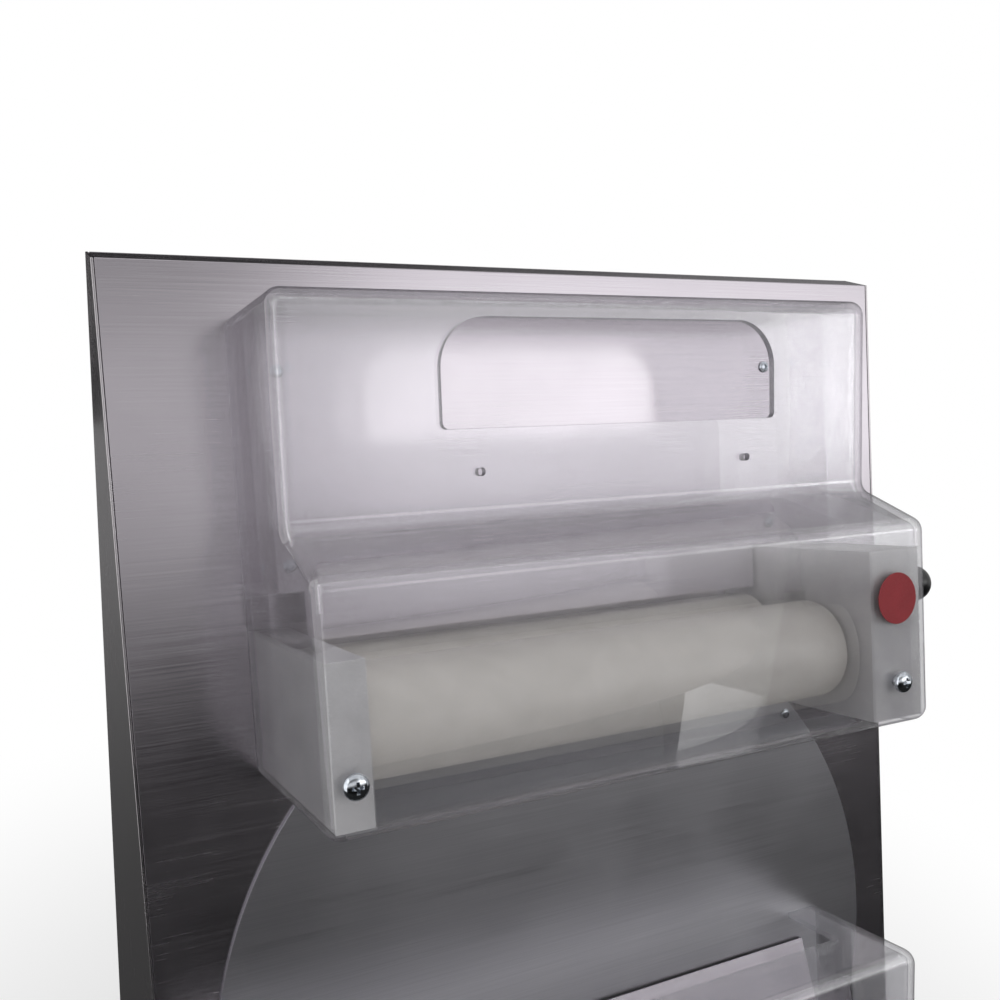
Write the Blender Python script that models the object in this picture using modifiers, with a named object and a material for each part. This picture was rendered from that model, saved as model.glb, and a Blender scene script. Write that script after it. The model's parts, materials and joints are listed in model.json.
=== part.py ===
"""Two-stage dough sheeter: a steel cabinet with a leaning front panel that carries two roller heads under clear
hoods, a round slide plate between them, and the gear motor, chain and gears that turn the rollers.

Metres, +Z up. The operator stands at -Y, and +X is to the operator's right.
Panel coordinates: x across the panel from its middle, n out of the panel, u up along it from its top edge.
"""

import math
from dataclasses import dataclass

import bmesh
import bpy
from mathutils import Matrix, Vector

# Fits and steps
SEAT = 0.0003
OVERRUN = 0.010
WELD = 0.000001
ARC_STEPS = 5
ROUND_STEPS = 24
ROLLER_STEPS = 32
SMALL_STEPS = 16
SLIDE_STEPS = 30
EDGE_STEPS = 3
SMOOTH_DEG = 40.0
EDGE_DEG = 60.0

# Cabinet
BODY_WIDTH = 0.540
BODY_HEIGHT = 0.790
PANEL_LENGTH = 0.740
PANEL_LEAN_DEG = 20.0
TOP_DEPTH = 0.022
SHEET = 0.0015
TOE_REACH = 0.380
TOE_HEIGHT = 0.060
BASE_THICKNESS = 0.002
BASE_RIM = 0.018
FOOT_HEIGHT = 0.025
FOOT_RADIUS = 0.016
FOOT_TOP_RADIUS = 0.020
FOOT_INSET = 0.032

# Round slide plate on the panel
SLIDE_RADIUS = 0.240
SLIDE_CENTRE_U = -0.455
SLIDE_HALF_HEIGHT = 0.163
SLIDE_CORNER = 0.012
SLIDE_THICKNESS = 0.002

# Roller heads, measured down from the top of each hood
UPPER_HEAD_LEFT = 0.0655
UPPER_HEAD_TOP_U = -0.0285
UPPER_ROLLER_SPACE = 0.3095
LOWER_HEAD_LEFT = 0.016
LOWER_HEAD_TOP_U = -0.450
LOWER_ROLLER_SPACE = 0.390
ROLLER_DROP = 0.2115

# Hood
HOOD_WALL = 0.004
HOOD_HEIGHT = 0.2545
HOOD_TOP_N = 0.091
HOOD_STEP_N = 0.086
HOOD_STEP_DROP = 0.115
HOOD_LEDGE_DROP = 0.135
HOOD_FRONT_N = 0.130
HOOD_EDGE_RADIUS = 0.008
HOOD_CORNER_RADIUS = 0.009
HOOD_STEP_RADIUS = 0.008
HOOD_LIP = 0.011
MOUTH_LEFT = 0.0857
MOUTH_WIDTH = 0.215
MOUTH_DROP = 0.0137
MOUTH_HEIGHT = 0.056
MOUTH_TOP_RADIUS = 0.026
MOUTH_BOTTOM_RADIUS = 0.0035
TOP_SLOT_REACH = 0.050
TOP_SLOT_INSET = 0.030
VENT_RADIUS = 0.0022
VENT_DROP = 0.0918
VENT_INSET = 0.021

# Side blocks
LEFT_BLOCK_WIDTH = 0.0193
LEFT_BLOCK_DROP = 0.172
CASE_WIDTH = 0.0386
CASE_DROP = 0.1505
CASE_WALL = 0.0047
CASE_INNER_WALL = 0.006
COVER_THICKNESS = 0.0037
CHEEK_HALF = 0.025
CHEEK_REACH = 0.015

# Rollers and their shafts
ROLLER_RADIUS = 0.0295
ROLLER_GAP = 0.0008
ROLLER_EDGE = 0.0025
ROLLER_END_GAP = 0.0015
FRONT_ROLLER_N = 0.0805
SHAFT_RADIUS = 0.008
SHAFT_STUB_RADIUS = 0.005
SHAFT_BORE_DEPTH = 0.016
BEARING_HALF_N = 0.018
BEARING_HALF_U = 0.014
BEARING_WIDTH = 0.0117
YOKE_WIDTH = 0.0079
YOKE_JOURNAL = 0.0035
YOKE_SLOT_DEPTH = 0.0029
RAIL_HEIGHT = 0.005
SCRAPER_REACH = 0.012
SCRAPER_GAP = 0.0004
SCRAPER_ANGLE_DEG = 16.0
SCRAPER_SLOPE_DEG = 20.0

# Gears, chain and motor
GEAR_TEETH = 20
GEAR_ADDENDUM = 0.0024
GEAR_DEDENDUM = 0.0029
GEAR_BACKLASH = 0.0005
GEAR_WIDTH = 0.010
GEAR_INSET = 0.0028
PRESSURE_ANGLE_DEG = 20.0
JACK_RADIUS = 0.006
SPROCKET_TEETH = 14
SPROCKET_RADIUS = 0.0160
SPROCKET_DEPTH = 0.0028
SPROCKET_WIDTH = 0.005
CHAIN_THICKNESS = 0.005
CHAIN_GAP = 0.0005
CHAIN_LINE_X = 0.470
MOTOR_U = -0.480
MOTOR_N = -0.060
MOTOR_RADIUS = 0.050
MOTOR_LENGTH = 0.165
GEARBOX_WIDTH = 0.062
GEARBOX_HALF_HEIGHT = 0.055
GEARBOX_DEPTH = 0.116

# Gap lever of each head
GAP_TRAVEL = 0.003
GAP_ECCENTRICITY = 0.00225
GAP_PIN_RADIUS = 0.003
HUB_RADIUS = 0.013
HUB_WIDTH = 0.0115
HUB_STAND_OFF = 0.0015
HUB_BORE_RADIUS = 0.006
LEVER_RADIUS = 0.004
KNOB_RADIUS = 0.012
KNOB_OUT_X = 0.045
KNOB_BACK_N = 0.0095
KNOB_RISE_U = 0.030

# Hood screws
SCREW_RADIUS = 0.003
SCREW_LENGTH = 0.0075
SCREW_HEAD_RADIUS = 0.00625
SCREW_HEAD_HEIGHT = 0.004
SCREW_HEAD_EDGE = 0.0014
SCREW_RECESS_WIDTH = 0.0013
SCREW_RECESS_DEPTH = 0.002
SCREW_DROP = 0.228
LEFT_SCREW_INSET = 0.0135
RIGHT_SCREW_INSET = 0.0243

# Feed chutes
CHUTE_N = 0.031
CHUTE_LEFT_INSET = 0.0115
CHUTE_RIGHT_INSET = 0.0205
CHUTE_TOP_DROP = 0.0045
CHUTE_TONGUE_DROP = 0.177
CHUTE_TONGUE_INSET = 0.002
CHUTE_RAMP_TOP_DROP = 0.020
CHUTE_RAMP_DROP = 0.110

# Controls and cable gland
SWITCH_PLATE_WIDTH = 0.060
SWITCH_PLATE_HEIGHT = 0.110
SWITCH_PLATE_THICKNESS = 0.002
SWITCH_PLATE_F = 0.075
SWITCH_PLATE_Z = 0.330
BUTTON_RADIUS = 0.011
BUTTON_PROUD = 0.007
BUTTON_DEPTH = 0.012
BUTTON_PITCH = 0.048
BUTTON_EDGE = 0.001
GLAND_RADIUS = 0.012
GLAND_NECK_RADIUS = 0.009
GLAND_BORE_RADIUS = 0.004
GLAND_PROUD = 0.016
GLAND_FLANGE = 0.004
GLAND_DEPTH = 0.010
GLAND_X = 0.190
GLAND_Z = 0.075

# Worked out from the sizes above
LEAN = math.radians(PANEL_LEAN_DEG)
HALF_WIDTH = BODY_WIDTH / 2
PANEL_RUN = PANEL_LENGTH * math.sin(LEAN)
PANEL_FOOT_Z = BODY_HEIGHT - PANEL_LENGTH * math.cos(LEAN)
BASE_Z = FOOT_HEIGHT + SEAT
INNER_HALF = HALF_WIDTH - SHEET - SEAT
REAR_INSIDE = TOP_DEPTH - SHEET - SEAT
SIDE_PROUD = SEAT + SWITCH_PLATE_THICKNESS + BUTTON_PROUD
ROLLER_PITCH = 2 * ROLLER_RADIUS + ROLLER_GAP
REAR_ROLLER_N = FRONT_ROLLER_N - ROLLER_PITCH
JACK_N = REAR_ROLLER_N - ROLLER_PITCH
GEAR_RADIUS = ROLLER_PITCH / 2
GAP_SHAFT_N = FRONT_ROLLER_N + GAP_TRAVEL / 2
GAP_HALF_SWING = math.asin(GAP_TRAVEL / 2 / GAP_ECCENTRICITY)
BLOCK_FRONT_N = HOOD_FRONT_N - HOOD_WALL - SEAT
BLOCK_BOTTOM_DROP = HOOD_HEIGHT - HOOD_WALL - SEAT
WINDOW_HALF = CHEEK_HALF + 2 * SEAT
SCRAPER_ANGLE = math.radians(SCRAPER_ANGLE_DEG)
SCRAPER_SLOPE = math.radians(SCRAPER_SLOPE_DEG)
TRIM_DEPTH = 2 * OVERRUN

# Columns send an outline's x, y and thickness to the frame's axes
ACROSS = Matrix(((0, 0, -1, 0), (-1, 0, 0, 0), (0, 1, 0, 0), (0, 0, 0, 1)))
FACING = Matrix(((1, 0, 0, 0), (0, 0, -1, 0), (0, 1, 0, 0), (0, 0, 0, 1)))

STEEL = ("brushed_stainless", (0.62, 0.60, 0.62), 0.32, 1.0)
DARK_STEEL = ("slide_stainless", (0.42, 0.42, 0.44), 0.36, 1.0)
ALUMINIUM = ("blasted_aluminium", (0.66, 0.67, 0.69), 0.55, 1.0)
CLEAR = ("clear_plastic", (0.88, 0.90, 0.90), 0.06, 0.0)
ROLLER_WHITE = ("roller_plastic", (0.80, 0.79, 0.76), 0.38, 0.0)
SHAFT_STEEL = ("turned_steel", (0.55, 0.55, 0.56), 0.28, 1.0)
SCREW_CHROME = ("plated_screw", (0.72, 0.73, 0.74), 0.12, 1.0)
BLACK = ("black_plastic", (0.02, 0.02, 0.02), 0.30, 0.0)
RUBBER = ("foot_rubber", (0.03, 0.03, 0.03), 0.80, 0.0)
GREEN = ("start_green", (0.02, 0.30, 0.08), 0.35, 0.0)
RED = ("stop_red", (0.45, 0.02, 0.02), 0.35, 0.0)
MOTOR_GREY = ("motor_paint", (0.22, 0.24, 0.26), 0.50, 0.0)
CHAIN_STEEL = ("chain_steel", (0.25, 0.24, 0.22), 0.45, 1.0)


@dataclass(frozen=True)
class Head:
    """One pair of rollers: its name, where its hood starts, how wide its rollers are and what it stands
    on.
    """

    name: str
    left: float
    top: float
    space: float
    back: float
    ramp: bool

    @property
    def hood_left(self):
        return self.left - HALF_WIDTH

    @property
    def block_left(self):
        return self.hood_left + HOOD_WALL + SEAT

    @property
    def rollers_left(self):
        return self.block_left + LEFT_BLOCK_WIDTH

    @property
    def rollers_right(self):
        return self.rollers_left + self.space

    @property
    def case_right(self):
        return self.rollers_right + CASE_WIDTH

    @property
    def hood_right(self):
        return self.case_right + SEAT + HOOD_WALL

    @property
    def axis_u(self):
        return self.top - ROLLER_DROP

    @property
    def case_top(self):
        return self.top - CASE_DROP

    @property
    def block_bottom(self):
        return self.top - BLOCK_BOTTOM_DROP

    @property
    def cover_left(self):
        return self.case_right - SEAT - COVER_THICKNESS


def make_collection(name):
    made = bpy.data.collections.new(name)
    bpy.context.scene.collection.children.link(made)
    return made


def clear_scene():
    for old in list(bpy.data.objects):
        bpy.data.objects.remove(old)


clear_scene()
PARTS = make_collection("dough_sheeter")
CUTTERS = make_collection("cutters")
CUTTERS.hide_render = True


def make_frame(name, parent=None):
    frame = bpy.data.objects.new(name, None)
    PARTS.objects.link(frame)
    frame.parent = parent
    return frame


def dress(obj, finish):
    """Gives the object the one material of its finish, made when it is first used."""
    name, colour, roughness, metallic = finish
    material = bpy.data.materials.get(name)
    if material is None:
        material = bpy.data.materials.new(name)
        material.use_nodes = True
        shader = material.node_tree.nodes["Principled BSDF"]
        shader.inputs["Base Color"].default_value = (*colour, 1.0)
        shader.inputs["Roughness"].default_value = roughness
        shader.inputs["Metallic"].default_value = metallic
    obj.data.materials.clear()
    obj.data.materials.append(material)


def place(name, mesh, frame, finish, origin=(0.0, 0.0, 0.0)):
    """An object of the part, or a hidden helper where finish is None, with its origin moved to a point."""
    mesh.transform(Matrix.Translation(-Vector(origin)))
    obj = bpy.data.objects.new(name, mesh)
    obj.parent = frame
    obj.location = origin
    if finish is None:
        CUTTERS.objects.link(obj)
        obj.hide_render = True
        obj.display_type = "WIRE"
    else:
        PARTS.objects.link(obj)
        dress(obj, finish)
    return obj


def panel_point(x, n, u):
    """A point of a tilted or an upright frame, whose y axis runs into the machine."""
    return (x, -n, u)


def boolean(obj, other, operation, solver="EXACT"):
    modifier = obj.modifiers.new(other.name, "BOOLEAN")
    modifier.operation = operation
    modifier.solver = solver
    modifier.object = other


def cut(obj, *cutters, solver="EXACT"):
    for cutter in cutters:
        boolean(obj, cutter, "DIFFERENCE", solver)


def join(obj, *pieces):
    for piece in pieces:
        boolean(obj, piece, "UNION")


def mesh_of(builder):
    mesh = bpy.data.meshes.new("shape")
    builder.normal_update()
    builder.to_mesh(mesh)
    builder.free()
    return mesh


def box(name, x, n, u, frame, finish, origin=(0.0, 0.0, 0.0)):
    """A box between two values along x, along n and along u."""
    builder = bmesh.new()
    bmesh.ops.create_cube(builder, size=1.0)
    low = Vector(panel_point(x[0], n[1], u[0]))
    high = Vector(panel_point(x[1], n[0], u[1]))
    bmesh.ops.scale(builder, vec=high - low, verts=builder.verts)
    bmesh.ops.translate(builder, vec=(low + high) / 2, verts=builder.verts)
    return place(name, mesh_of(builder), frame, finish, origin)


def rod(name, radius, start, end, frame, finish, origin=(0.0, 0.0, 0.0), steps=ROUND_STEPS):
    """A cylinder between two points."""
    start, end = Vector(start), Vector(end)
    axis = end - start
    builder = bmesh.new()
    bmesh.ops.create_cone(
        builder, cap_ends=True, segments=steps, radius1=radius, radius2=radius, depth=axis.length
    )
    turn = Vector((0, 0, 1)).rotation_difference(axis).to_matrix().to_4x4()
    middle = Matrix.Translation((start + end) / 2)
    bmesh.ops.transform(builder, matrix=middle @ turn, verts=builder.verts)
    obj = place(name, mesh_of(builder), frame, finish, origin)
    smooth(obj)
    return obj


def smooth(obj):
    obj.data.shade_smooth()
    obj.data.set_sharp_from_angle(angle=math.radians(SMOOTH_DEG))


def turned(name, profile, frame, finish, origin, axis, closed=False, steps=ROUND_STEPS):
    """A turned piece: (radius, height) points that run down its outer side, spun round an axis through
    the origin.
    """
    mesh = bpy.data.meshes.new(name)
    points = [(radius, 0.0, height) for radius, height in profile]
    edges = [(i, i + 1) for i in range(len(points) - 1)]
    if closed:
        edges.append((len(points) - 1, 0))
    mesh.from_pydata(points, edges, [])
    obj = place(name, mesh, frame, finish)
    obj.location = origin
    obj.rotation_euler = Vector((0, 0, 1)).rotation_difference(Vector(axis)).to_euler()
    screw = obj.modifiers.new("turn", "SCREW")
    screw.steps = steps
    screw.render_steps = steps
    screw.use_merge_vertices = True
    screw.merge_threshold = WELD
    screw.use_smooth_shade = True
    return obj


def outline_mesh(rings, thickness, plane, middle):
    """A flat outline, with holes where it has more than one ring, drawn as a filled 2D curve and made a
    mesh.
    """
    curve = bpy.data.curves.new("outline", "CURVE")
    curve.dimensions = "2D"
    curve.fill_mode = "BOTH"
    curve.extrude = thickness / 2
    for ring in rings:
        spline = curve.splines.new("POLY")
        spline.points.add(len(ring) - 1)
        for point, (x, y) in zip(spline.points, ring):
            point.co = (x, y, 0.0, 1.0)
        spline.use_cyclic_u = True
    helper = bpy.data.objects.new("outline", curve)
    PARTS.objects.link(helper)
    graph = bpy.context.evaluated_depsgraph_get()
    mesh = bpy.data.meshes.new_from_object(helper.evaluated_get(graph))
    bpy.data.objects.remove(helper)
    builder = bmesh.new()
    builder.from_mesh(mesh)
    bmesh.ops.remove_doubles(builder, verts=builder.verts, dist=WELD)
    bmesh.ops.transform(builder, matrix=Matrix.Translation(middle) @ plane, verts=builder.verts)
    bmesh.ops.recalc_face_normals(builder, faces=builder.faces)
    bpy.data.meshes.remove(mesh)
    return mesh_of(builder)


def extruded(name, rings, x, frame, finish, origin=(0.0, 0.0, 0.0)):
    """An outline of (n, u) points, run from one x to another."""
    middle = ((x[0] + x[1]) / 2, 0.0, 0.0)
    mesh = outline_mesh(rings, x[1] - x[0], ACROSS, middle)
    return place(name, mesh, frame, finish, origin)


def plate(name, rings, n, frame, finish, origin=(0.0, 0.0, 0.0)):
    """An outline of (x, u) points, run from one n to another."""
    middle = (0.0, -(n[0] + n[1]) / 2, 0.0)
    mesh = outline_mesh(rings, n[1] - n[0], FACING, middle)
    return place(name, mesh, frame, finish, origin)


def arc(centre, radius, start, end, steps):
    """Points along an arc, its angles in radians."""
    turns = [start + (end - start) * step / steps for step in range(steps + 1)]
    return [(centre[0] + radius * math.cos(a), centre[1] + radius * math.sin(a)) for a in turns]


def circle(centre, radius, steps=ROUND_STEPS):
    return arc(centre, radius, 0.0, 2 * math.pi, steps)[:-1]


def rectangle(x, y):
    return [(x[0], y[1]), (x[1], y[1]), (x[1], y[0]), (x[0], y[0])]


def rounded(corners, radii, steps=ARC_STEPS):
    """A closed outline with each corner rounded to its own radius."""
    made = []
    for index, (corner, radius) in enumerate(zip(corners, radii)):
        here = Vector(corner)
        before = (Vector(corners[index - 1]) - here).normalized()
        after = (Vector(corners[(index + 1) % len(corners)]) - here).normalized()
        if radius == 0.0:
            made.append(tuple(here))
            continue
        half = before.angle(after) / 2
        centre = here + (before + after).normalized() * radius / math.sin(half)
        first = here + before * radius / math.tan(half) - centre
        last = here + after * radius / math.tan(half) - centre
        start = math.atan2(first.y, first.x)
        sweep = math.atan2(last.y, last.x) - start
        sweep = (sweep + math.pi) % (2 * math.pi) - math.pi
        made += arc(centre, radius, start, start + sweep, steps)
    return made


def shifted(points, distance, closed=False):
    """The path moved to its right-hand side by a distance, its corners mitred."""
    made = []
    last = len(points) - 1
    for index, point in enumerate(points):
        here = Vector(point)
        normals = []
        if closed or index > 0:
            normals.append(right_of(Vector(points[index - 1]), here))
        if closed or index < last:
            normals.append(right_of(here, Vector(points[(index + 1) % len(points)])))
        total = sum(normals, Vector((0.0, 0.0)))
        scale = len(normals) / total.length_squared if len(normals) > 1 else 1.0
        made.append(tuple(here + total * scale * distance))
    return made


def right_of(start, end):
    along = (end - start).normalized()
    return Vector((along.y, -along.x))


def sheet_outline(path, thickness):
    """The outline of a bent sheet whose outer face follows the path."""
    return path + shifted(path, thickness)[::-1]


def involute(angle):
    return math.tan(angle) - angle


def gear_outline(centre, phase):
    """A spur gear's outline, with a tooth at the phase angle and three radii on each flank."""
    pressure = math.radians(PRESSURE_ANGLE_DEG)
    base = GEAR_RADIUS * math.cos(pressure)
    half_at_pitch = math.pi / 2 / GEAR_TEETH - GEAR_BACKLASH / 4 / GEAR_RADIUS
    flank = []
    for radius in (GEAR_RADIUS - GEAR_DEDENDUM, GEAR_RADIUS, GEAR_RADIUS + GEAR_ADDENDUM):
        reach = max(radius, base)
        half = half_at_pitch + involute(pressure) - involute(math.acos(base / reach))
        flank.append((radius, half))
    made = []
    for tooth in range(GEAR_TEETH):
        middle = phase + 2 * math.pi * tooth / GEAR_TEETH
        turns = [(radius, middle - half) for radius, half in flank]
        turns += [(radius, middle + half) for radius, half in reversed(flank)]
        made += [(centre[0] + r * math.cos(a), centre[1] + r * math.sin(a)) for r, a in turns]
    return made


def sprocket_outline(centre):
    """A small chain wheel with plain pointed teeth."""
    made = []
    for step in range(2 * SPROCKET_TEETH):
        radius = SPROCKET_RADIUS - SPROCKET_DEPTH * (step % 2)
        angle = math.pi * step / SPROCKET_TEETH
        made.append((centre[0] + radius * math.cos(angle), centre[1] + radius * math.sin(angle)))
    return made


def wrapped(centres, radius, steps):
    """The outline of a band pulled round wheels of one radius, whose centres are given clockwise."""
    made = []
    for index, centre in enumerate(centres):
        here = Vector(centre)
        before = Vector(centres[index - 1])
        after = Vector(centres[(index + 1) % len(centres)])
        first = -right_of(before, here)
        last = -right_of(here, after)
        start = math.atan2(first.y, first.x)
        sweep = (math.atan2(last.y, last.x) - start) % (-2 * math.pi)
        made += arc(centre, radius, start, start + sweep, steps)
    return made


def build_front_panel(tilted, heads):
    """One bent sheet: the leaning face and the strip folded back along its top."""
    fold = (-REAR_INSIDE * math.cos(LEAN), REAR_INSIDE * math.sin(LEAN))
    path = [fold, (0.0, 0.0), (0.0, -PANEL_LENGTH)]
    panel = extruded(
        "front_panel", [sheet_outline(path, SHEET)], (-INNER_HALF, INNER_HALF), tilted, STEEL
    )
    for head in heads:
        window = box(
            f"{head.name}_window",
            (head.rollers_left + SEAT, head.case_right + SEAT),
            (-OVERRUN, OVERRUN),
            (head.axis_u - WINDOW_HALF, head.axis_u + WINDOW_HALF),
            tilted,
            None,
        )
        cut(panel, window)


def build_sides(upright):
    outline = [
        (-TOP_DEPTH, BASE_Z),
        (-TOP_DEPTH, BODY_HEIGHT),
        (0.0, BODY_HEIGHT),
        (PANEL_RUN, PANEL_FOOT_Z),
        (TOE_REACH, TOE_HEIGHT),
        (TOE_REACH, BASE_Z),
    ]
    extruded("side_left", [outline], (-HALF_WIDTH, -HALF_WIDTH + SHEET), upright, STEEL)
    right = extruded("side_right", [outline], (HALF_WIDTH - SHEET, HALF_WIDTH), upright, STEEL)
    for index, height in enumerate(button_heights()):
        hole = rod(
            f"button_hole_{index}",
            BUTTON_RADIUS + SEAT,
            panel_point(HALF_WIDTH - OVERRUN, SWITCH_PLATE_F, height),
            panel_point(HALF_WIDTH + OVERRUN, SWITCH_PLATE_F, height),
            upright,
            None,
        )
        cut(right, hole)


def build_rear_cover(upright):
    cover = box(
        "rear_cover",
        (-INNER_HALF, INNER_HALF),
        (-TOP_DEPTH, -TOP_DEPTH + SHEET),
        (BASE_Z, BODY_HEIGHT),
        upright,
        STEEL,
    )
    hole = rod(
        "gland_hole",
        GLAND_NECK_RADIUS + SEAT,
        panel_point(GLAND_X, -TOP_DEPTH - OVERRUN, GLAND_Z),
        panel_point(GLAND_X, -TOP_DEPTH + OVERRUN, GLAND_Z),
        upright,
        None,
    )
    cut(cover, hole)
    profile = [
        (GLAND_BORE_RADIUS, GLAND_PROUD),
        (GLAND_NECK_RADIUS, GLAND_PROUD),
        (GLAND_RADIUS, GLAND_PROUD - GLAND_FLANGE),
        (GLAND_RADIUS, SEAT),
        (GLAND_NECK_RADIUS, SEAT),
        (GLAND_NECK_RADIUS, -GLAND_DEPTH),
        (GLAND_BORE_RADIUS, -GLAND_DEPTH),
    ]
    origin = panel_point(GLAND_X, -TOP_DEPTH, GLAND_Z)
    axis = (0, 1, 0)
    turned("cable_gland", profile, upright, BLACK, origin, axis, closed=True, steps=SMALL_STEPS)


def build_base(upright):
    """A folded tray that the sides and covers stand round, with the shelf that closes the toe above it."""
    front = TOE_REACH - SHEET - SEAT
    tray = box(
        "base_tray",
        (-INNER_HALF, INNER_HALF),
        (-REAR_INSIDE, front),
        (BASE_Z, BASE_Z + BASE_RIM),
        upright,
        STEEL,
    )
    hollow = box(
        "tray_hollow",
        (-INNER_HALF + BASE_THICKNESS, INNER_HALF - BASE_THICKNESS),
        (-REAR_INSIDE + BASE_THICKNESS, front - BASE_THICKNESS),
        (BASE_Z + BASE_THICKNESS, BASE_Z + BASE_RIM + OVERRUN),
        upright,
        None,
    )
    cut(tray, hollow)
    path = [
        (PANEL_RUN + SEAT, PANEL_FOOT_Z - SHEET),
        (TOE_REACH, TOE_HEIGHT),
        (TOE_REACH, BASE_Z),
    ]
    extruded(
        "receiving_shelf", [sheet_outline(path, SHEET)], (-INNER_HALF, INNER_HALF), upright, STEEL
    )


def build_feet(upright):
    profile = [
        (0.0, FOOT_HEIGHT),
        (FOOT_TOP_RADIUS, FOOT_HEIGHT),
        (FOOT_RADIUS, 0.0),
        (0.0, 0.0),
    ]
    for side, x in (("left", -HALF_WIDTH + FOOT_INSET), ("right", HALF_WIDTH - FOOT_INSET)):
        for end, n in (("rear", -TOP_DEPTH + FOOT_INSET), ("front", TOE_REACH - FOOT_INSET)):
            origin = panel_point(x, n, 0.0)
            turned(f"foot_{end}_{side}", profile, upright, RUBBER, origin, (0, 0, 1))


def build_slide_plate(tilted):
    """A round plate with its top and bottom cut straight, its corners eased."""
    half_angle = math.asin(SLIDE_HALF_HEIGHT / SLIDE_RADIUS)
    centre = (0.0, SLIDE_CENTRE_U)
    right = arc(centre, SLIDE_RADIUS, half_angle, -half_angle, SLIDE_STEPS)
    left = arc(centre, SLIDE_RADIUS, math.pi + half_angle, math.pi - half_angle, SLIDE_STEPS)
    radii = [SLIDE_CORNER] + [0.0] * (SLIDE_STEPS - 1) + [SLIDE_CORNER]
    outline = rounded(right + left, radii + radii)
    plate("slide_plate", [outline], (SEAT, SEAT + SLIDE_THICKNESS), tilted, DARK_STEEL)


def hood_outline(head):
    return [
        (-TRIM_DEPTH, head.top),
        (HOOD_TOP_N, head.top),
        (HOOD_STEP_N, head.top - HOOD_STEP_DROP),
        (HOOD_FRONT_N, head.top - HOOD_LEDGE_DROP),
        (HOOD_FRONT_N, head.top - HOOD_HEIGHT),
        (-TRIM_DEPTH, head.top - HOOD_HEIGHT),
    ]


def eased(obj, radius):
    """Rounds an extrusion's two long rims, where its end faces meet its sides."""
    bevel = obj.modifiers.new("eased", "BEVEL")
    bevel.width = radius
    bevel.segments = EDGE_STEPS
    bevel.limit_method = "ANGLE"
    bevel.angle_limit = math.radians(EDGE_DEG)


def hood_solid(name, head, inset, foot_radius, tilted, finish):
    """The outside of the hood, or its inside where inset is the wall."""
    corner = HOOD_CORNER_RADIUS - inset
    radii = [0.0, corner, HOOD_STEP_RADIUS + inset, corner, foot_radius, 0.0]
    outline = rounded(shifted(hood_outline(head), inset, closed=True), radii)
    x = (head.hood_left + inset, head.hood_right - inset)
    return extruded(name, [outline], x, tilted, finish)


def build_hood(head, tilted):
    """A clear moulded cover, open at the back and below, where a narrow lip turns in.

    Its inside corners are square where the blocks stand in them.
    """
    hood = hood_solid(f"{head.name}_hood", head, 0.0, HOOD_CORNER_RADIUS, tilted, CLEAR)
    eased(hood, HOOD_EDGE_RADIUS)
    hollow = hood_solid(f"{head.name}_hood_hollow", head, HOOD_WALL, 0.0, tilted, None)
    bottom = head.top - HOOD_HEIGHT
    behind = box(
        f"{head.name}_hood_trim",
        (head.hood_left - OVERRUN, head.hood_right + OVERRUN),
        (-TRIM_DEPTH - OVERRUN, head.back),
        (bottom - OVERRUN, head.top + OVERRUN),
        tilted,
        None,
    )
    below = box(
        f"{head.name}_hood_outlet",
        (head.hood_left + HOOD_LIP, head.hood_right - HOOD_LIP),
        (-TRIM_DEPTH, HOOD_FRONT_N - HOOD_LIP),
        (bottom - OVERRUN, bottom + OVERRUN),
        tilted,
        None,
    )
    openings = (feed_mouth(head, tilted), gap_hole(head, tilted))
    cut(hood, hollow, behind, below, *openings, solver="MANIFOLD")
    for side, x in screw_places(head):
        hole = rod(
            f"{head.name}_{side}_screw_hole",
            SCREW_RADIUS + SEAT,
            panel_point(x, HOOD_FRONT_N - HOOD_WALL - OVERRUN, head.top - SCREW_DROP),
            panel_point(x, HOOD_FRONT_N + OVERRUN, head.top - SCREW_DROP),
            tilted,
            None,
        )
        cut(hood, hole, solver="MANIFOLD")
    if not head.ramp:
        cut(hood, *vent_holes(head, tilted), solver="MANIFOLD")


def feed_mouth(head, tilted):
    """The hand opening of the upper hood, or the slot in the top of the lower one that dough slides in
    through.
    """
    if head.ramp:
        return box(
            f"{head.name}_mouth",
            (head.hood_left + TOP_SLOT_INSET, head.hood_right - TOP_SLOT_INSET),
            (-TRIM_DEPTH, TOP_SLOT_REACH),
            (head.top - HOOD_WALL - OVERRUN, head.top + OVERRUN),
            tilted,
            None,
        )
    left = head.hood_left + MOUTH_LEFT
    top = head.top - MOUTH_DROP
    corners = rectangle((left, left + MOUTH_WIDTH), (top - MOUTH_HEIGHT, top))
    radii = [MOUTH_TOP_RADIUS, MOUTH_TOP_RADIUS, MOUTH_BOTTOM_RADIUS, MOUTH_BOTTOM_RADIUS]
    depth = (HOOD_STEP_N - HOOD_WALL - OVERRUN, HOOD_TOP_N + OVERRUN)
    return plate(f"{head.name}_mouth", [rounded(corners, radii)], depth, tilted, None)


def vent_holes(head, tilted):
    made = []
    left = head.hood_left + MOUTH_LEFT + VENT_INSET
    right = head.hood_left + MOUTH_LEFT + MOUTH_WIDTH - VENT_INSET
    for index, x in enumerate((left, right)):
        start = panel_point(x, HOOD_STEP_N - HOOD_WALL - OVERRUN, head.top - VENT_DROP)
        end = panel_point(x, HOOD_TOP_N + OVERRUN, head.top - VENT_DROP)
        hole = rod(f"vent_hole_{index}", VENT_RADIUS, start, end, tilted, None, steps=SMALL_STEPS)
        made.append(hole)
    return made


def gap_hole(head, tilted):
    return rod(
        f"{head.name}_gap_hole",
        SHAFT_RADIUS + 2 * SEAT,
        panel_point(head.hood_right - HOOD_WALL - SEAT, GAP_SHAFT_N, head.axis_u),
        panel_point(head.hood_right + OVERRUN, GAP_SHAFT_N, head.axis_u),
        tilted,
        None,
    )


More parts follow.
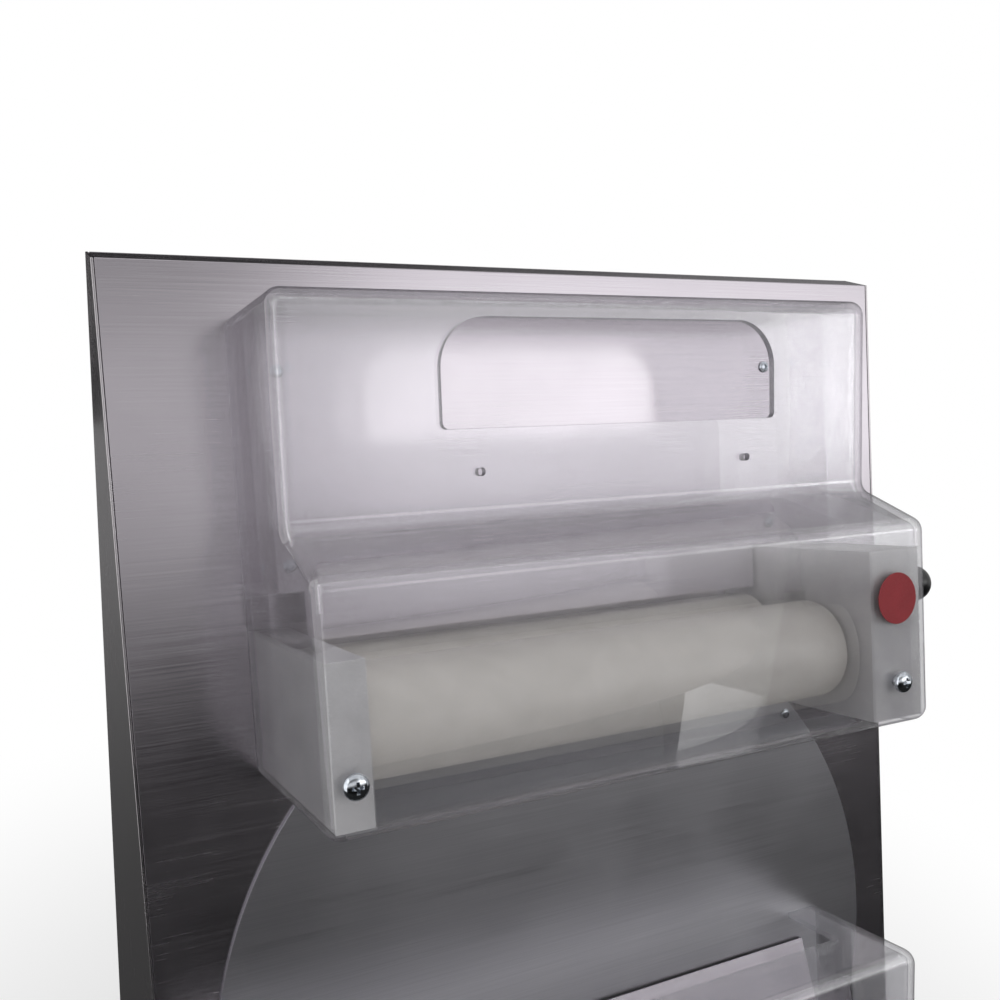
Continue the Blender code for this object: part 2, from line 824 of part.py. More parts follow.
def screw_places(head):
    """The name of each hood screw's side, and where it stands across the panel."""
    left = ("left", head.hood_left + LEFT_SCREW_INSET)
    right = ("right", head.hood_right - RIGHT_SCREW_INSET)
    return (left, right)


def build_hood_screws(head, tilted):
    """Pan-head screws with a cross recess, through the hood into the block and the gear case."""
    profile = [
        (0.0, SCREW_HEAD_HEIGHT),
        (SCREW_HEAD_RADIUS - 2 * SCREW_HEAD_EDGE, SCREW_HEAD_HEIGHT),
        (SCREW_HEAD_RADIUS - SCREW_HEAD_EDGE / 2, SCREW_HEAD_HEIGHT - SCREW_HEAD_EDGE),
        (SCREW_HEAD_RADIUS, SCREW_HEAD_HEIGHT - 2 * SCREW_HEAD_EDGE),
        (SCREW_HEAD_RADIUS, SEAT),
        (SCREW_RADIUS, SEAT),
        (SCREW_RADIUS, -SCREW_LENGTH),
        (0.0, -SCREW_LENGTH),
    ]
    for side, x in screw_places(head):
        u = head.top - SCREW_DROP
        origin = panel_point(x, HOOD_FRONT_N, u)
        name = f"{head.name}_hood_screw_{side}"
        screw = turned(name, profile, tilted, SCREW_CHROME, origin, (0, -1, 0), steps=SMALL_STEPS)
        top = HOOD_FRONT_N + SCREW_HEAD_HEIGHT
        depth = (top - SCREW_RECESS_DEPTH, top + OVERRUN)
        wide, narrow = SCREW_HEAD_RADIUS / 2, SCREW_RECESS_WIDTH / 2
        for index, (half_x, half_u) in enumerate(((wide, narrow), (narrow, wide))):
            slot = box(
                f"{name}_slot_{index}",
                (x - half_x, x + half_x),
                depth,
                (u - half_u, u + half_u),
                tilted,
                None,
            )
            cut(screw, slot)


def screw_socket(head, side, tilted):
    """The hole that takes a hood screw in the metal behind the hood."""
    depth = BLOCK_FRONT_N + HOOD_WALL - SCREW_LENGTH - SEAT
    x = dict(screw_places(head))[side]
    return rod(
        f"{head.name}_{side}_socket",
        SCREW_RADIUS + SEAT,
        panel_point(x, depth - SEAT, head.top - SCREW_DROP),
        panel_point(x, BLOCK_FRONT_N + OVERRUN, head.top - SCREW_DROP),
        tilted,
        None,
    )


def shaft_hole(name, radius, x, n, u, tilted):
    return rod(name, radius + SEAT, panel_point(x[0], n, u), panel_point(x[1], n, u), tilted, None)


def build_left_block(head, tilted):
    """The block that carries the rollers' left ends: a blind hole for the rear one, a slide pocket for
    the front.
    """
    block = box(
        f"{head.name}_left_block",
        (head.block_left, head.rollers_left),
        (head.back, BLOCK_FRONT_N),
        (head.block_bottom, head.top - LEFT_BLOCK_DROP),
        tilted,
        ALUMINIUM,
    )
    inner = head.rollers_left + OVERRUN
    hole = shaft_hole(
        f"{head.name}_left_hole",
        SHAFT_RADIUS,
        (head.rollers_left - SHAFT_BORE_DEPTH, inner),
        REAR_ROLLER_N,
        head.axis_u,
        tilted,
    )
    pocket = box(
        f"{head.name}_left_pocket",
        (head.rollers_left - BEARING_WIDTH - SEAT, inner),
        (FRONT_ROLLER_N - BEARING_HALF_N - SEAT, FRONT_ROLLER_N + BEARING_HALF_N + GAP_TRAVEL + SEAT),
        (head.axis_u - BEARING_HALF_U - SEAT, head.axis_u + BEARING_HALF_U + SEAT),
        tilted,
        None,
    )
    cut(block, hole, pocket, screw_socket(head, "left", tilted))


def cheeked_outline(head, n, u):
    """A block's outline with the cheek behind it that passes through the panel's window."""
    return [
        (n[0], u[1]),
        (n[1], u[1]),
        (n[1], u[0]),
        (n[0], u[0]),
        (n[0], head.axis_u - CHEEK_HALF),
        (JACK_N - CHEEK_REACH, head.axis_u - CHEEK_HALF),
        (JACK_N - CHEEK_REACH, head.axis_u + CHEEK_HALF),
        (n[0], head.axis_u + CHEEK_HALF),
    ]


def build_gear_case(head, tilted):
    """The thick right block, hollow for the gears and open on its right and towards the cabinet."""
    outline = cheeked_outline(head, (head.back, BLOCK_FRONT_N), (head.block_bottom, head.case_top))
    case = extruded(
        f"{head.name}_gear_case", [outline], (head.rollers_right, head.case_right), tilted, ALUMINIUM
    )
    hollow = box(
        f"{head.name}_case_hollow",
        (head.rollers_right + CASE_INNER_WALL, head.case_right + OVERRUN),
        (JACK_N - CHEEK_REACH - OVERRUN, BLOCK_FRONT_N - CASE_WALL),
        (head.block_bottom + CASE_WALL, head.case_top - CASE_WALL),
        tilted,
        None,
    )
    wall = (head.rollers_right - OVERRUN, head.rollers_right + CASE_INNER_WALL + OVERRUN)
    radius = SHAFT_RADIUS + SEAT
    ends = rounded(
        rectangle(
            (FRONT_ROLLER_N - radius, FRONT_ROLLER_N + GAP_TRAVEL + radius),
            (head.axis_u - radius, head.axis_u + radius),
        ),
        [radius - WELD] * 4,
    )
    cut(
        case,
        hollow,
        shaft_hole(f"{head.name}_case_rear", SHAFT_RADIUS, wall, REAR_ROLLER_N, head.axis_u, tilted),
        shaft_hole(f"{head.name}_case_jack", JACK_RADIUS, wall, JACK_N, head.axis_u, tilted),
        extruded(f"{head.name}_case_slot", [ends], wall, tilted, None),
        screw_socket(head, "right", tilted),
    )


def build_gear_cover(head, tilted):
    """The plate that closes the gear case and guides the sliding bearing between two rails."""
    outline = cheeked_outline(
        head,
        (head.back + SEAT, BLOCK_FRONT_N - CASE_WALL - SEAT),
        (head.block_bottom + CASE_WALL + SEAT, head.case_top - CASE_WALL - SEAT),
    )
    x = (head.cover_left, head.case_right - SEAT)
    cover = extruded(f"{head.name}_gear_cover", [outline], x, tilted, ALUMINIUM)
    for side, sign in (("upper", 1), ("lower", -1)):
        near = head.axis_u + sign * (BEARING_HALF_U + SEAT)
        far = near + sign * RAIL_HEIGHT
        rail = box(
            f"{head.name}_{side}_rail",
            (head.cover_left - SEAT - YOKE_WIDTH, head.cover_left + COVER_THICKNESS / 2),
            (FRONT_ROLLER_N - BEARING_HALF_N, FRONT_ROLLER_N + BEARING_HALF_N + GAP_TRAVEL),
            (min(near, far), max(near, far)),
            tilted,
            None,
        )
        join(cover, rail)
    through = (head.cover_left - OVERRUN, head.case_right + OVERRUN)
    for name, radius, n in (
        ("gap", SHAFT_RADIUS, GAP_SHAFT_N),
        ("stub", SHAFT_STUB_RADIUS, REAR_ROLLER_N),
        ("jack", JACK_RADIUS, JACK_N),
    ):
        hole = shaft_hole(f"{head.name}_cover_{name}", radius, through, n, head.axis_u, tilted)
        cut(cover, hole)


def build_chute(head, tilted):
    """The bent sheet that leads dough down to the rollers, on two side flanges that stand on what is
    behind it.
    """
    left = head.hood_left + CHUTE_LEFT_INSET
    right = head.hood_right - CHUTE_RIGHT_INSET
    low = head.case_top + 2 * SEAT
    if head.ramp:
        top = head.top - CHUTE_RAMP_TOP_DROP
        path = [(head.back + 2 * SHEET, top), (CHUTE_N, head.top - CHUTE_RAMP_DROP), (CHUTE_N, low)]
    else:
        top = head.top - CHUTE_TOP_DROP
        path = [(head.back, top), (CHUTE_N, top), (CHUTE_N, low)]
    chute = extruded(
        f"{head.name}_feed_chute", [sheet_outline(path, SHEET)], (left, right), tilted, STEEL
    )
    flange = path + [(head.back, low), (head.back, top)]
    for side, x in (("left", left), ("right", right - SHEET)):
        cheek = extruded(f"{head.name}_chute_{side}", [flange], (x, x + SHEET), tilted, None)
        join(chute, cheek)
    tongue = box(
        f"{head.name}_chute_tongue",
        (head.rollers_left + CHUTE_TONGUE_INSET, head.rollers_right - CHUTE_TONGUE_INSET),
        (CHUTE_N - SHEET, CHUTE_N),
        (head.top - CHUTE_TONGUE_DROP, low + SHEET),
        tilted,
        None,
    )
    join(chute, tongue)


def build_scrapers(head, tilted):
    """A blade under each roller, between the blocks, that peels dough off beside the nip."""
    reach = ROLLER_RADIUS + SCRAPER_GAP
    x = (head.rollers_left + SEAT, head.rollers_right - SEAT)
    for name, axis_n, sign in (("rear", REAR_ROLLER_N, 1), ("front", FRONT_ROLLER_N, -1)):
        tip = (
            axis_n + sign * reach * math.sin(SCRAPER_ANGLE),
            head.axis_u - reach * math.cos(SCRAPER_ANGLE),
        )
        end = (
            tip[0] + sign * SCRAPER_REACH * math.cos(SCRAPER_SLOPE),
            tip[1] - SCRAPER_REACH * math.sin(SCRAPER_SLOPE),
        )
        outline = sheet_outline([tip, end], sign * SHEET)
        extruded(f"{head.name}_{name}_scraper", [outline], x, tilted, STEEL)


def build_roller(name, n, x, head, tilted):
    """A plastic sleeve with eased ends, round its shaft."""
    half = (x[1] - x[0]) / 2
    outer, inner = ROLLER_RADIUS, SHAFT_RADIUS + SEAT
    profile = [
        (inner, half),
        (outer - ROLLER_EDGE, half),
        (outer, half - ROLLER_EDGE),
        (outer, -half + ROLLER_EDGE),
        (outer - ROLLER_EDGE, -half),
        (inner, -half),
    ]
    origin = panel_point((x[0] + x[1]) / 2, n, head.axis_u)
    turned(name, profile, tilted, ROLLER_WHITE, origin, (1, 0, 0), closed=True, steps=ROLLER_STEPS)


def build_rollers(head, tilted):
    x = (head.rollers_left + ROLLER_END_GAP, head.rollers_right - ROLLER_END_GAP)
    build_roller(f"{head.name}_rear_roller", REAR_ROLLER_N, x, head, tilted)
    build_roller(f"{head.name}_front_roller", FRONT_ROLLER_N, x, head, tilted)


def build_shafts(head, tilted):
    """The rear shaft ends in a stub in the gear cover, and the front one in the sliding bearings."""
    start = head.rollers_left - SHAFT_BORE_DEPTH + SEAT
    shoulder = head.cover_left - YOKE_WIDTH / 2
    stub_end = head.case_right - SEAT
    origin = panel_point(0.0, REAR_ROLLER_N, head.axis_u)
    profile = [
        (0.0, stub_end),
        (SHAFT_STUB_RADIUS, stub_end),
        (SHAFT_STUB_RADIUS, shoulder),
        (SHAFT_RADIUS, shoulder),
        (SHAFT_RADIUS, start),
        (0.0, start),
    ]
    turned(f"{head.name}_rear_shaft", profile, tilted, SHAFT_STEEL, origin, (1, 0, 0))
    front = (
        head.rollers_left - BEARING_WIDTH + SEAT,
        head.cover_left - SEAT - YOKE_WIDTH + YOKE_JOURNAL - SEAT,
    )
    origin = panel_point(0.0, FRONT_ROLLER_N, head.axis_u)
    profile = [(0.0, front[1]), (SHAFT_RADIUS, front[1]), (SHAFT_RADIUS, front[0]), (0.0, front[0])]
    turned(f"{head.name}_front_shaft", profile, tilted, SHAFT_STEEL, origin, (1, 0, 0))


def build_bearings(head, tilted):
    """The two sliding blocks that carry the front roller; the right one has the slot that the lever's
    pin moves.
    """
    n = (FRONT_ROLLER_N - BEARING_HALF_N, FRONT_ROLLER_N + BEARING_HALF_N)
    u = (head.axis_u - BEARING_HALF_U, head.axis_u + BEARING_HALF_U)
    origin = panel_point(0.0, FRONT_ROLLER_N, head.axis_u)
    left_x = (head.rollers_left - BEARING_WIDTH, head.rollers_left - SEAT)
    left = box(f"{head.name}_left_bearing", left_x, n, u, tilted, ALUMINIUM, origin)
    hole = shaft_hole(
        f"{head.name}_left_journal",
        SHAFT_RADIUS,
        (left_x[0] - OVERRUN, left_x[1] + OVERRUN),
        FRONT_ROLLER_N,
        head.axis_u,
        tilted,
    )
    cut(left, hole)
    right_x = (head.cover_left - SEAT - YOKE_WIDTH, head.cover_left - SEAT)
    right = box(f"{head.name}_right_bearing", right_x, n, u, tilted, ALUMINIUM, origin)
    hole = shaft_hole(
        f"{head.name}_right_journal",
        SHAFT_RADIUS,
        (right_x[0] - OVERRUN, right_x[0] + YOKE_JOURNAL),
        FRONT_ROLLER_N,
        head.axis_u,
        tilted,
    )
    pin_u = head.axis_u + GAP_ECCENTRICITY * math.cos(GAP_HALF_SWING)
    room = GAP_PIN_RADIUS + SEAT
    slot = box(
        f"{head.name}_yoke_slot",
        (right_x[1] - YOKE_SLOT_DEPTH, right_x[1] + OVERRUN),
        (FRONT_ROLLER_N - room, FRONT_ROLLER_N + room),
        (pin_u - room - SEAT, head.axis_u + GAP_ECCENTRICITY + room + SEAT),
        tilted,
        None,
    )
    cut(right, hole, slot)


def gear_band(head, extra=0.0):
    left = head.rollers_right + CASE_INNER_WALL + GEAR_INSET
    return (left - extra, left + GEAR_WIDTH + extra)


def build_gears(head, tilted):
    half_pitch = math.pi / GEAR_TEETH
    for name, n, phase in (("rear", REAR_ROLLER_N, 0.0), ("front", FRONT_ROLLER_N, half_pitch)):
        centre = (n, head.axis_u)
        rings = [gear_outline(centre, phase), circle(centre, SHAFT_RADIUS + SEAT, SMALL_STEPS)]
        origin = panel_point(0.0, n, head.axis_u)
        extruded(f"{head.name}_{name}_gear", rings, gear_band(head), tilted, SHAFT_STEEL, origin)


def build_jackshaft(head, tilted):
    """The shaft inside the panel that the chain turns, cut with the gear that drives the rear roller."""
    centre = (JACK_N, head.axis_u)
    origin = panel_point(0.0, JACK_N, head.axis_u)
    start = head.rollers_right + SEAT
    end = CHAIN_LINE_X - HALF_WIDTH + SPROCKET_WIDTH + SEAT
    shaft = rod(
        f"{head.name}_jackshaft",
        JACK_RADIUS,
        panel_point(start, JACK_N, head.axis_u),
        panel_point(end, JACK_N, head.axis_u),
        tilted,
        SHAFT_STEEL,
        origin,
        steps=SMALL_STEPS,
    )
    phase = math.pi / GEAR_TEETH
    gear = extruded(
        f"{head.name}_jack_gear", [gear_outline(centre, phase)], gear_band(head), tilted, None
    )
    join(shaft, gear, sprocket(f"{head.name}_jack_sprocket", centre, tilted))


def sprocket(name, centre, tilted):
    x = CHAIN_LINE_X - HALF_WIDTH
    return extruded(name, [sprocket_outline(centre)], (x, x + SPROCKET_WIDTH), tilted, None)


def build_drive(heads, tilted):
    """The chain, and the gear motor on the back of the panel with its output wheel."""
    motor = (MOTOR_N, MOTOR_U)
    upper, lower = [(JACK_N, head.axis_u) for head in heads]
    loop = [upper, lower, motor]
    inner = SPROCKET_RADIUS + CHAIN_GAP
    x = CHAIN_LINE_X - HALF_WIDTH
    rings = [
        wrapped(loop, inner + CHAIN_THICKNESS, 2 * ARC_STEPS),
        wrapped(loop, inner, 2 * ARC_STEPS),
    ]
    extruded("drive_chain", rings, (x, x + SPROCKET_WIDTH), tilted, CHAIN_STEEL)
    box_right = x - SPROCKET_WIDTH
    box_left = box_right - GEARBOX_WIDTH
    casing = box(
        "gear_motor",
        (box_left, box_right),
        (-SHEET - SEAT - GEARBOX_DEPTH, -SHEET - SEAT),
        (MOTOR_U - GEARBOX_HALF_HEIGHT, MOTOR_U + GEARBOX_HALF_HEIGHT),
        tilted,
        MOTOR_GREY,
    )
    barrel = rod(
        "motor_barrel",
        MOTOR_RADIUS,
        panel_point(box_left - MOTOR_LENGTH, MOTOR_N, MOTOR_U),
        panel_point(box_left + OVERRUN, MOTOR_N, MOTOR_U),
        tilted,
        None,
    )
    join(casing, barrel)
    start = box_right - GEARBOX_WIDTH / 2
    bore = shaft_hole(
        "motor_bore", JACK_RADIUS, (start - SEAT, x), MOTOR_N, MOTOR_U, tilted
    )
    cut(casing, bore)
    output = rod(
        "motor_output",
        JACK_RADIUS,
        panel_point(start, MOTOR_N, MOTOR_U),
        panel_point(x + SPROCKET_WIDTH + SEAT, MOTOR_N, MOTOR_U),
        tilted,
        SHAFT_STEEL,
        panel_point(0.0, MOTOR_N, MOTOR_U),
        steps=SMALL_STEPS,
    )
    join(output, sprocket("motor_sprocket", motor, tilted))


def build_gap_lever(head, tilted):
    """The lever outside the hood: its shaft carries an eccentric pin that slides the front roller's
    bearing.
    """
    origin = panel_point(head.hood_right, GAP_SHAFT_N, head.axis_u)
    hub_left = head.hood_right + HUB_STAND_OFF
    profile = [
        (0.0, hub_left + HUB_WIDTH - head.hood_right),
        (HUB_BORE_RADIUS, hub_left + HUB_WIDTH - head.hood_right),
        (HUB_BORE_RADIUS, HUB_STAND_OFF - SEAT),
        (SHAFT_RADIUS, HUB_STAND_OFF - SEAT),
        (SHAFT_RADIUS, head.cover_left - head.hood_right),
        (0.0, head.cover_left - head.hood_right),
    ]
    shaft = turned(f"{head.name}_gap_shaft", profile, tilted, SHAFT_STEEL, origin, (1, 0, 0))
    pin_n = GAP_SHAFT_N - GAP_TRAVEL / 2
    pin_u = head.axis_u + GAP_ECCENTRICITY * math.cos(GAP_HALF_SWING)
    pin = rod(
        f"{head.name}_gap_pin",
        GAP_PIN_RADIUS,
        panel_point(head.cover_left - YOKE_SLOT_DEPTH, pin_n, pin_u),
        panel_point(head.cover_left + COVER_THICKNESS / 2, pin_n, pin_u),
        tilted,
        None,
        steps=SMALL_STEPS,
    )
    join(shaft, pin)
    build_lever_arm(head, hub_left, origin, tilted)


def build_lever_arm(head, hub_left, origin, tilted):
    hub_middle = hub_left + HUB_WIDTH / 2
    lever = rod(
        f"{head.name}_gap_lever",
        HUB_RADIUS,
        panel_point(hub_left, GAP_SHAFT_N, head.axis_u),
        panel_point(hub_left + HUB_WIDTH, GAP_SHAFT_N, head.axis_u),
        tilted,
        SCREW_CHROME,
        origin,
    )
    across = Vector((-KNOB_BACK_N, KNOB_RISE_U)).normalized() * (HUB_RADIUS - LEVER_RADIUS / 2)
    start = Vector(panel_point(hub_middle, GAP_SHAFT_N + across.x, head.axis_u + across.y))
    knob = Vector(
        panel_point(hub_middle + KNOB_OUT_X, GAP_SHAFT_N - KNOB_BACK_N, head.axis_u + KNOB_RISE_U)
    )
    arm = rod(f"{head.name}_gap_arm", LEVER_RADIUS, start, knob, tilted, None, steps=SMALL_STEPS)
    bore = shaft_hole(
        f"{head.name}_hub_bore",
        HUB_BORE_RADIUS,
        (hub_left - OVERRUN, hub_left + HUB_WIDTH + OVERRUN),
        GAP_SHAFT_N,
        head.axis_u,
        tilted,
    )
    join(lever, arm)
    cut(lever, bore)
    build_knob(head, start, knob, origin, tilted)


def build_knob(head, start, centre, origin, tilted):
    builder = bmesh.new()
    bmesh.ops.create_uvsphere(
        builder, u_segments=SMALL_STEPS, v_segments=SMALL_STEPS // 2, radius=KNOB_RADIUS
    )
    bmesh.ops.translate(builder, vec=centre, verts=builder.verts)
    knob = place(f"{head.name}_gap_knob", mesh_of(builder), tilted, BLACK, origin)
    smooth(knob)
    inward = (centre - start).normalized() * SEAT
    name = f"{head.name}_knob_hole"
    end = centre + inward
    hole = rod(name, LEVER_RADIUS + SEAT, start, end, tilted, None, steps=SMALL_STEPS)
    cut(knob, hole)


def button_heights():
    return (SWITCH_PLATE_Z + BUTTON_PITCH / 2, SWITCH_PLATE_Z - BUTTON_PITCH / 2)


def build_controls(upright):
    """A plate on the right side with a start and a stop push button."""
    face = HALF_WIDTH + SEAT + SWITCH_PLATE_THICKNESS
    holder = box(
        "switch_plate",
        (HALF_WIDTH + SEAT, face),
        (SWITCH_PLATE_F - SWITCH_PLATE_WIDTH / 2, SWITCH_PLATE_F + SWITCH_PLATE_WIDTH / 2),
        (SWITCH_PLATE_Z - SWITCH_PLATE_HEIGHT / 2, SWITCH_PLATE_Z + SWITCH_PLATE_HEIGHT / 2),
        upright,
        BLACK,
    )
    profile = [
        (0.0, BUTTON_PROUD),
        (BUTTON_RADIUS - BUTTON_EDGE, BUTTON_PROUD),
        (BUTTON_RADIUS, BUTTON_PROUD - BUTTON_EDGE),
        (BUTTON_RADIUS, -BUTTON_DEPTH),
        (0.0, -BUTTON_DEPTH),
    ]
    for name, finish, height in zip(("start", "stop"), (GREEN, RED), button_heights()):
        hole = rod(
            f"{name}_hole",
            BUTTON_RADIUS + SEAT,
            panel_point(HALF_WIDTH - OVERRUN, SWITCH_PLATE_F, height),
            panel_point(face + OVERRUN, SWITCH_PLATE_F, height),
            upright,
            None,
        )
        cut(holder, hole)
        origin = panel_point(face, SWITCH_PLATE_F, height)
        turned(f"{name}_button", profile, upright, finish, origin, (1, 0, 0))


def build_head(head, tilted):
    build_left_block(head, tilted)
    build_gear_case(head, tilted)
    build_gear_cover(head, tilted)
    build_hood(head, tilted)
    build_hood_screws(head, tilted)
    build_chute(head, tilted)
    build_scrapers(head, tilted)
    build_rollers(head, tilted)
    build_shafts(head, tilted)
    build_bearings(head, tilted)
    build_gears(head, tilted)
    build_jackshaft(head, tilted)
    build_gap_lever(head, tilted)


def build_machine():
    """The upright frame puts the whole machine's box over the origin, and the tilted one lies in the
    panel.
    """
    upright = make_frame("upright_frame")
    front_y = TOE_REACH - TOP_DEPTH - GLAND_PROUD
    upright.location = (-SIDE_PROUD / 2, front_y / 2, 0.0)
    tilted = make_frame("tilted_frame", upright)
    tilted.location = (0.0, 0.0, BODY_HEIGHT)
    tilted.rotation_euler = (-LEAN, 0.0, 0.0)
    plate_face = SEAT + SLIDE_THICKNESS + SEAT
    heads = (
        Head("upper", UPPER_HEAD_LEFT, UPPER_HEAD_TOP_U, UPPER_ROLLER_SPACE, SEAT, False),
        Head("lower", LOWER_HEAD_LEFT, LOWER_HEAD_TOP_U, LOWER_ROLLER_SPACE, plate_face, True),
    )
    build_front_panel(tilted, heads)
    build_sides(upright)
    build_rear_cover(upright)
    build_base(upright)
    build_feet(upright)
    build_slide_plate(tilted)
    for head in heads:
        build_head(head, tilted)
    build_drive(heads, tilted)
    build_controls(upright)
    bpy.context.view_layer.update()


build_machine()
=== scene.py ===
"""Looks of the two-stage dough sheeter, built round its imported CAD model.

The panel's own coordinates are used for all that stands on the leaning front: x across from the panel's
middle, n out of it and u up along it from its top edge, in metres.
"""

import json
import logging
import math
from collections.abc import Callable
from dataclasses import dataclass
from enum import Enum
from typing import Any

import bmesh
import bpy
from mathutils import Matrix, Vector

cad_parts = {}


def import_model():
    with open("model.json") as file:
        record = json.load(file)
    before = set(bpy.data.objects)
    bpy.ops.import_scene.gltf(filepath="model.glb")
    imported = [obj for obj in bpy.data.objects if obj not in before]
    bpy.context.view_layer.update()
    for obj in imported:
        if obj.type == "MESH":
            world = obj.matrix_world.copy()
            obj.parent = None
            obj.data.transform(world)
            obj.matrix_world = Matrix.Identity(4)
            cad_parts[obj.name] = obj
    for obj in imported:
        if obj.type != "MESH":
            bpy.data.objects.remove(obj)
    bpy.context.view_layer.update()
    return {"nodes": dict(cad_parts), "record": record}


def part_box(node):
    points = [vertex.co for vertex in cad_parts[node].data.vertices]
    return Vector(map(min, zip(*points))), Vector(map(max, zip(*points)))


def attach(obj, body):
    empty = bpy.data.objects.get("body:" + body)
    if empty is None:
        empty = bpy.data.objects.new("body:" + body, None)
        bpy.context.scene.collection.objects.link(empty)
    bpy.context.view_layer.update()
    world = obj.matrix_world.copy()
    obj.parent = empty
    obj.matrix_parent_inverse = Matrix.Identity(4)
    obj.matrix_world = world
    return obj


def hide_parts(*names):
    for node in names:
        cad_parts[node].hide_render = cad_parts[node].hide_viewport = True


LOG = logging.getLogger("dough_sheeter")
Piece = bpy.types.Object
Tree = bpy.types.NodeTree
Socket = bpy.types.NodeSocket
Nodes = dict[str, Piece]
Glow = Callable[[Vector], float]
Point2 = tuple[float, float]
Span = tuple[float, float]
MM = 0.001
CLEAR = 0.3 * MM
PANEL_HALF = 0.270
WHITE = (1.0, 1.0, 1.0, 1.0)
RIGHTWARDS = Vector((1.0, 0.0, 0.0))
BACKWARDS = Vector((0.0, 1.0, 0.0))
UPWARDS = Vector((0.0, 0.0, 1.0))


class Grain(Enum):
    """The way a brushed surface was ground: the axis of its lines and the way its highlights spread."""

    ACROSS = ((1.0, 0.0, 0.0), (0.0, 0.342, 0.940))
    UPRIGHT = ((0.0, 0.0, 1.0), (0.04, 1.0, 0.02))


class Plane(Enum):
    """What an outline's two numbers are: x and u on the panel's face, or n and u beside it."""

    FACE = "face"
    PROFILE = "profile"


class Solver(Enum):
    """Which of Blender's Boolean solvers makes a cut."""

    EXACT = "EXACT"
    MANIFOLD = "MANIFOLD"


@dataclass(frozen=True)
class PanelFrame:
    """Where the leaning panel's coordinates lie in the machine's frame."""

    lean_deg: float = 20.0
    origin: tuple[float, float, float] = (-0.00465, 0.171, 0.790)

    def matrix(self) -> Matrix:
        """The panel's axes (x, into the machine, u) as a matrix in the machine's frame."""
        turn = Matrix.Rotation(-math.radians(self.lean_deg), 4, "X")
        return Matrix.Translation(self.origin) @ turn

    def point(self, x: float, n: float, u: float) -> Vector:
        """A point of the panel's frame in the machine's frame."""
        return self.matrix() @ Vector((x, -n, u))

    def out(self) -> Vector:
        """The direction straight out of the panel."""
        return self.matrix().to_3x3() @ Vector((0.0, -1.0, 0.0))


PANEL = PanelFrame()


def linear(colour: str) -> tuple[float, float, float, float]:
    """Turns an sRGB hex colour into linear values.

    Args:
        colour: The colour as six hex digits, such as "c8c4ca".

    Returns:
        Red, green and blue in linear light, with an alpha of 1.
    """
    made = []
    for start in (0, 2, 4):
        value = int(colour[start : start + 2], 16) / 255
        made.append(value / 12.92 if value <= 0.04045 else ((value + 0.055) / 1.055) ** 2.4)
    return (made[0], made[1], made[2], 1.0)


def add(tree: Tree, kind: str, inputs: dict | None = None, **settings: Any) -> bpy.types.Node:
    """Adds a node with its settings, values and links.

    Args:
        tree: The node tree.
        kind: The node's type name.
        inputs: Values or output sockets, by input name or number.
        **settings: Properties of the node.

    Returns:
        The new node.
    """
    node = tree.nodes.new(kind)
    for name, value in settings.items():
        setattr(node, name, value)
    for key, value in (inputs or {}).items():
        socket = node.inputs[key]
        if isinstance(value, Socket):
            tree.links.new(value, socket)
        else:
            socket.default_value = value
    return node


def emptied(owner: bpy.types.Material | bpy.types.World) -> Tree:
    """The owner's node tree, with nothing in it yet."""
    owner.use_nodes = True
    owner.node_tree.nodes.clear()
    return owner.node_tree


def maths(tree: Tree, operation: str, first: Socket, second: Socket | float) -> Socket:
    """One step of arithmetic."""
    return add(tree, "ShaderNodeMath", {0: first, 1: second}, operation=operation).outputs[0]


def blended(tree: Tree, share: Socket | float, first: Socket, second: Socket) -> Socket:
    """Two shaders, of which the second has the share."""
    return add(tree, "ShaderNodeMixShader", {0: share, 1: first, 2: second}).outputs[0]


def tinted(tree: Tree, share: Socket, first: Socket | tuple, second: tuple) -> Socket:
    """Two colours, of which the second has the share."""
    inputs = {"Factor": share, 6: first, 7: second}
    return add(tree, "ShaderNodeMix", inputs, data_type="RGBA").outputs[2]


def noise(tree: Tree, size: float | tuple[float, float, float], detail: float = 2.0) -> Socket:
    """Noise on Object coordinates whose features have a real size.

    Args:
        tree: The material's node tree.
        size: The size of a feature in metres, or one for each axis.
        detail: How many finer layers lie on it.

    Returns:
        The noise's value socket.
    """
    sizes = (size, size, size) if isinstance(size, float) else size
    place = add(tree, "ShaderNodeTexCoord").outputs["Object"]
    scale = tuple(1.0 / one for one in sizes)
    stretched = add(tree, "ShaderNodeMapping", {"Vector": place, "Scale": scale}).outputs["Vector"]
    inputs = {"Vector": stretched, "Scale": 1.0, "Detail": detail, "Roughness": 0.55}
    return add(tree, "ShaderNodeTexNoise", inputs).outputs["Fac"]


def ranged(tree: Tree, value: Socket, low: float, high: float) -> Socket:
    """The noise value, which mostly lies from 0.3 to 0.7, spread from low to high."""
    inputs = {"Value": value, "From Min": 0.3, "From Max": 0.7, "To Min": low, "To Max": high}
    return add(tree, "ShaderNodeMapRange", inputs).outputs["Result"]


def between(tree: Tree, value: Socket, first: str, second: str) -> Socket:
    """A colour that runs from the first hex colour to the second with a noise value."""
    return tinted(tree, ranged(tree, value, 0.0, 1.0), linear(first), linear(second))


def bumped(tree: Tree, height: Socket, depth: float, strength: float) -> Socket:
    """A normal from a height pattern that is so many metres deep."""
    inputs = {"Height": height, "Distance": depth, "Strength": strength}
    return add(tree, "ShaderNodeBump", inputs).outputs["Normal"]


def principled(tree: Tree, inputs: dict[str, Any]) -> Socket:
    """A Principled shader with these inputs."""
    return add(tree, "ShaderNodeBsdfPrincipled", inputs).outputs[0]


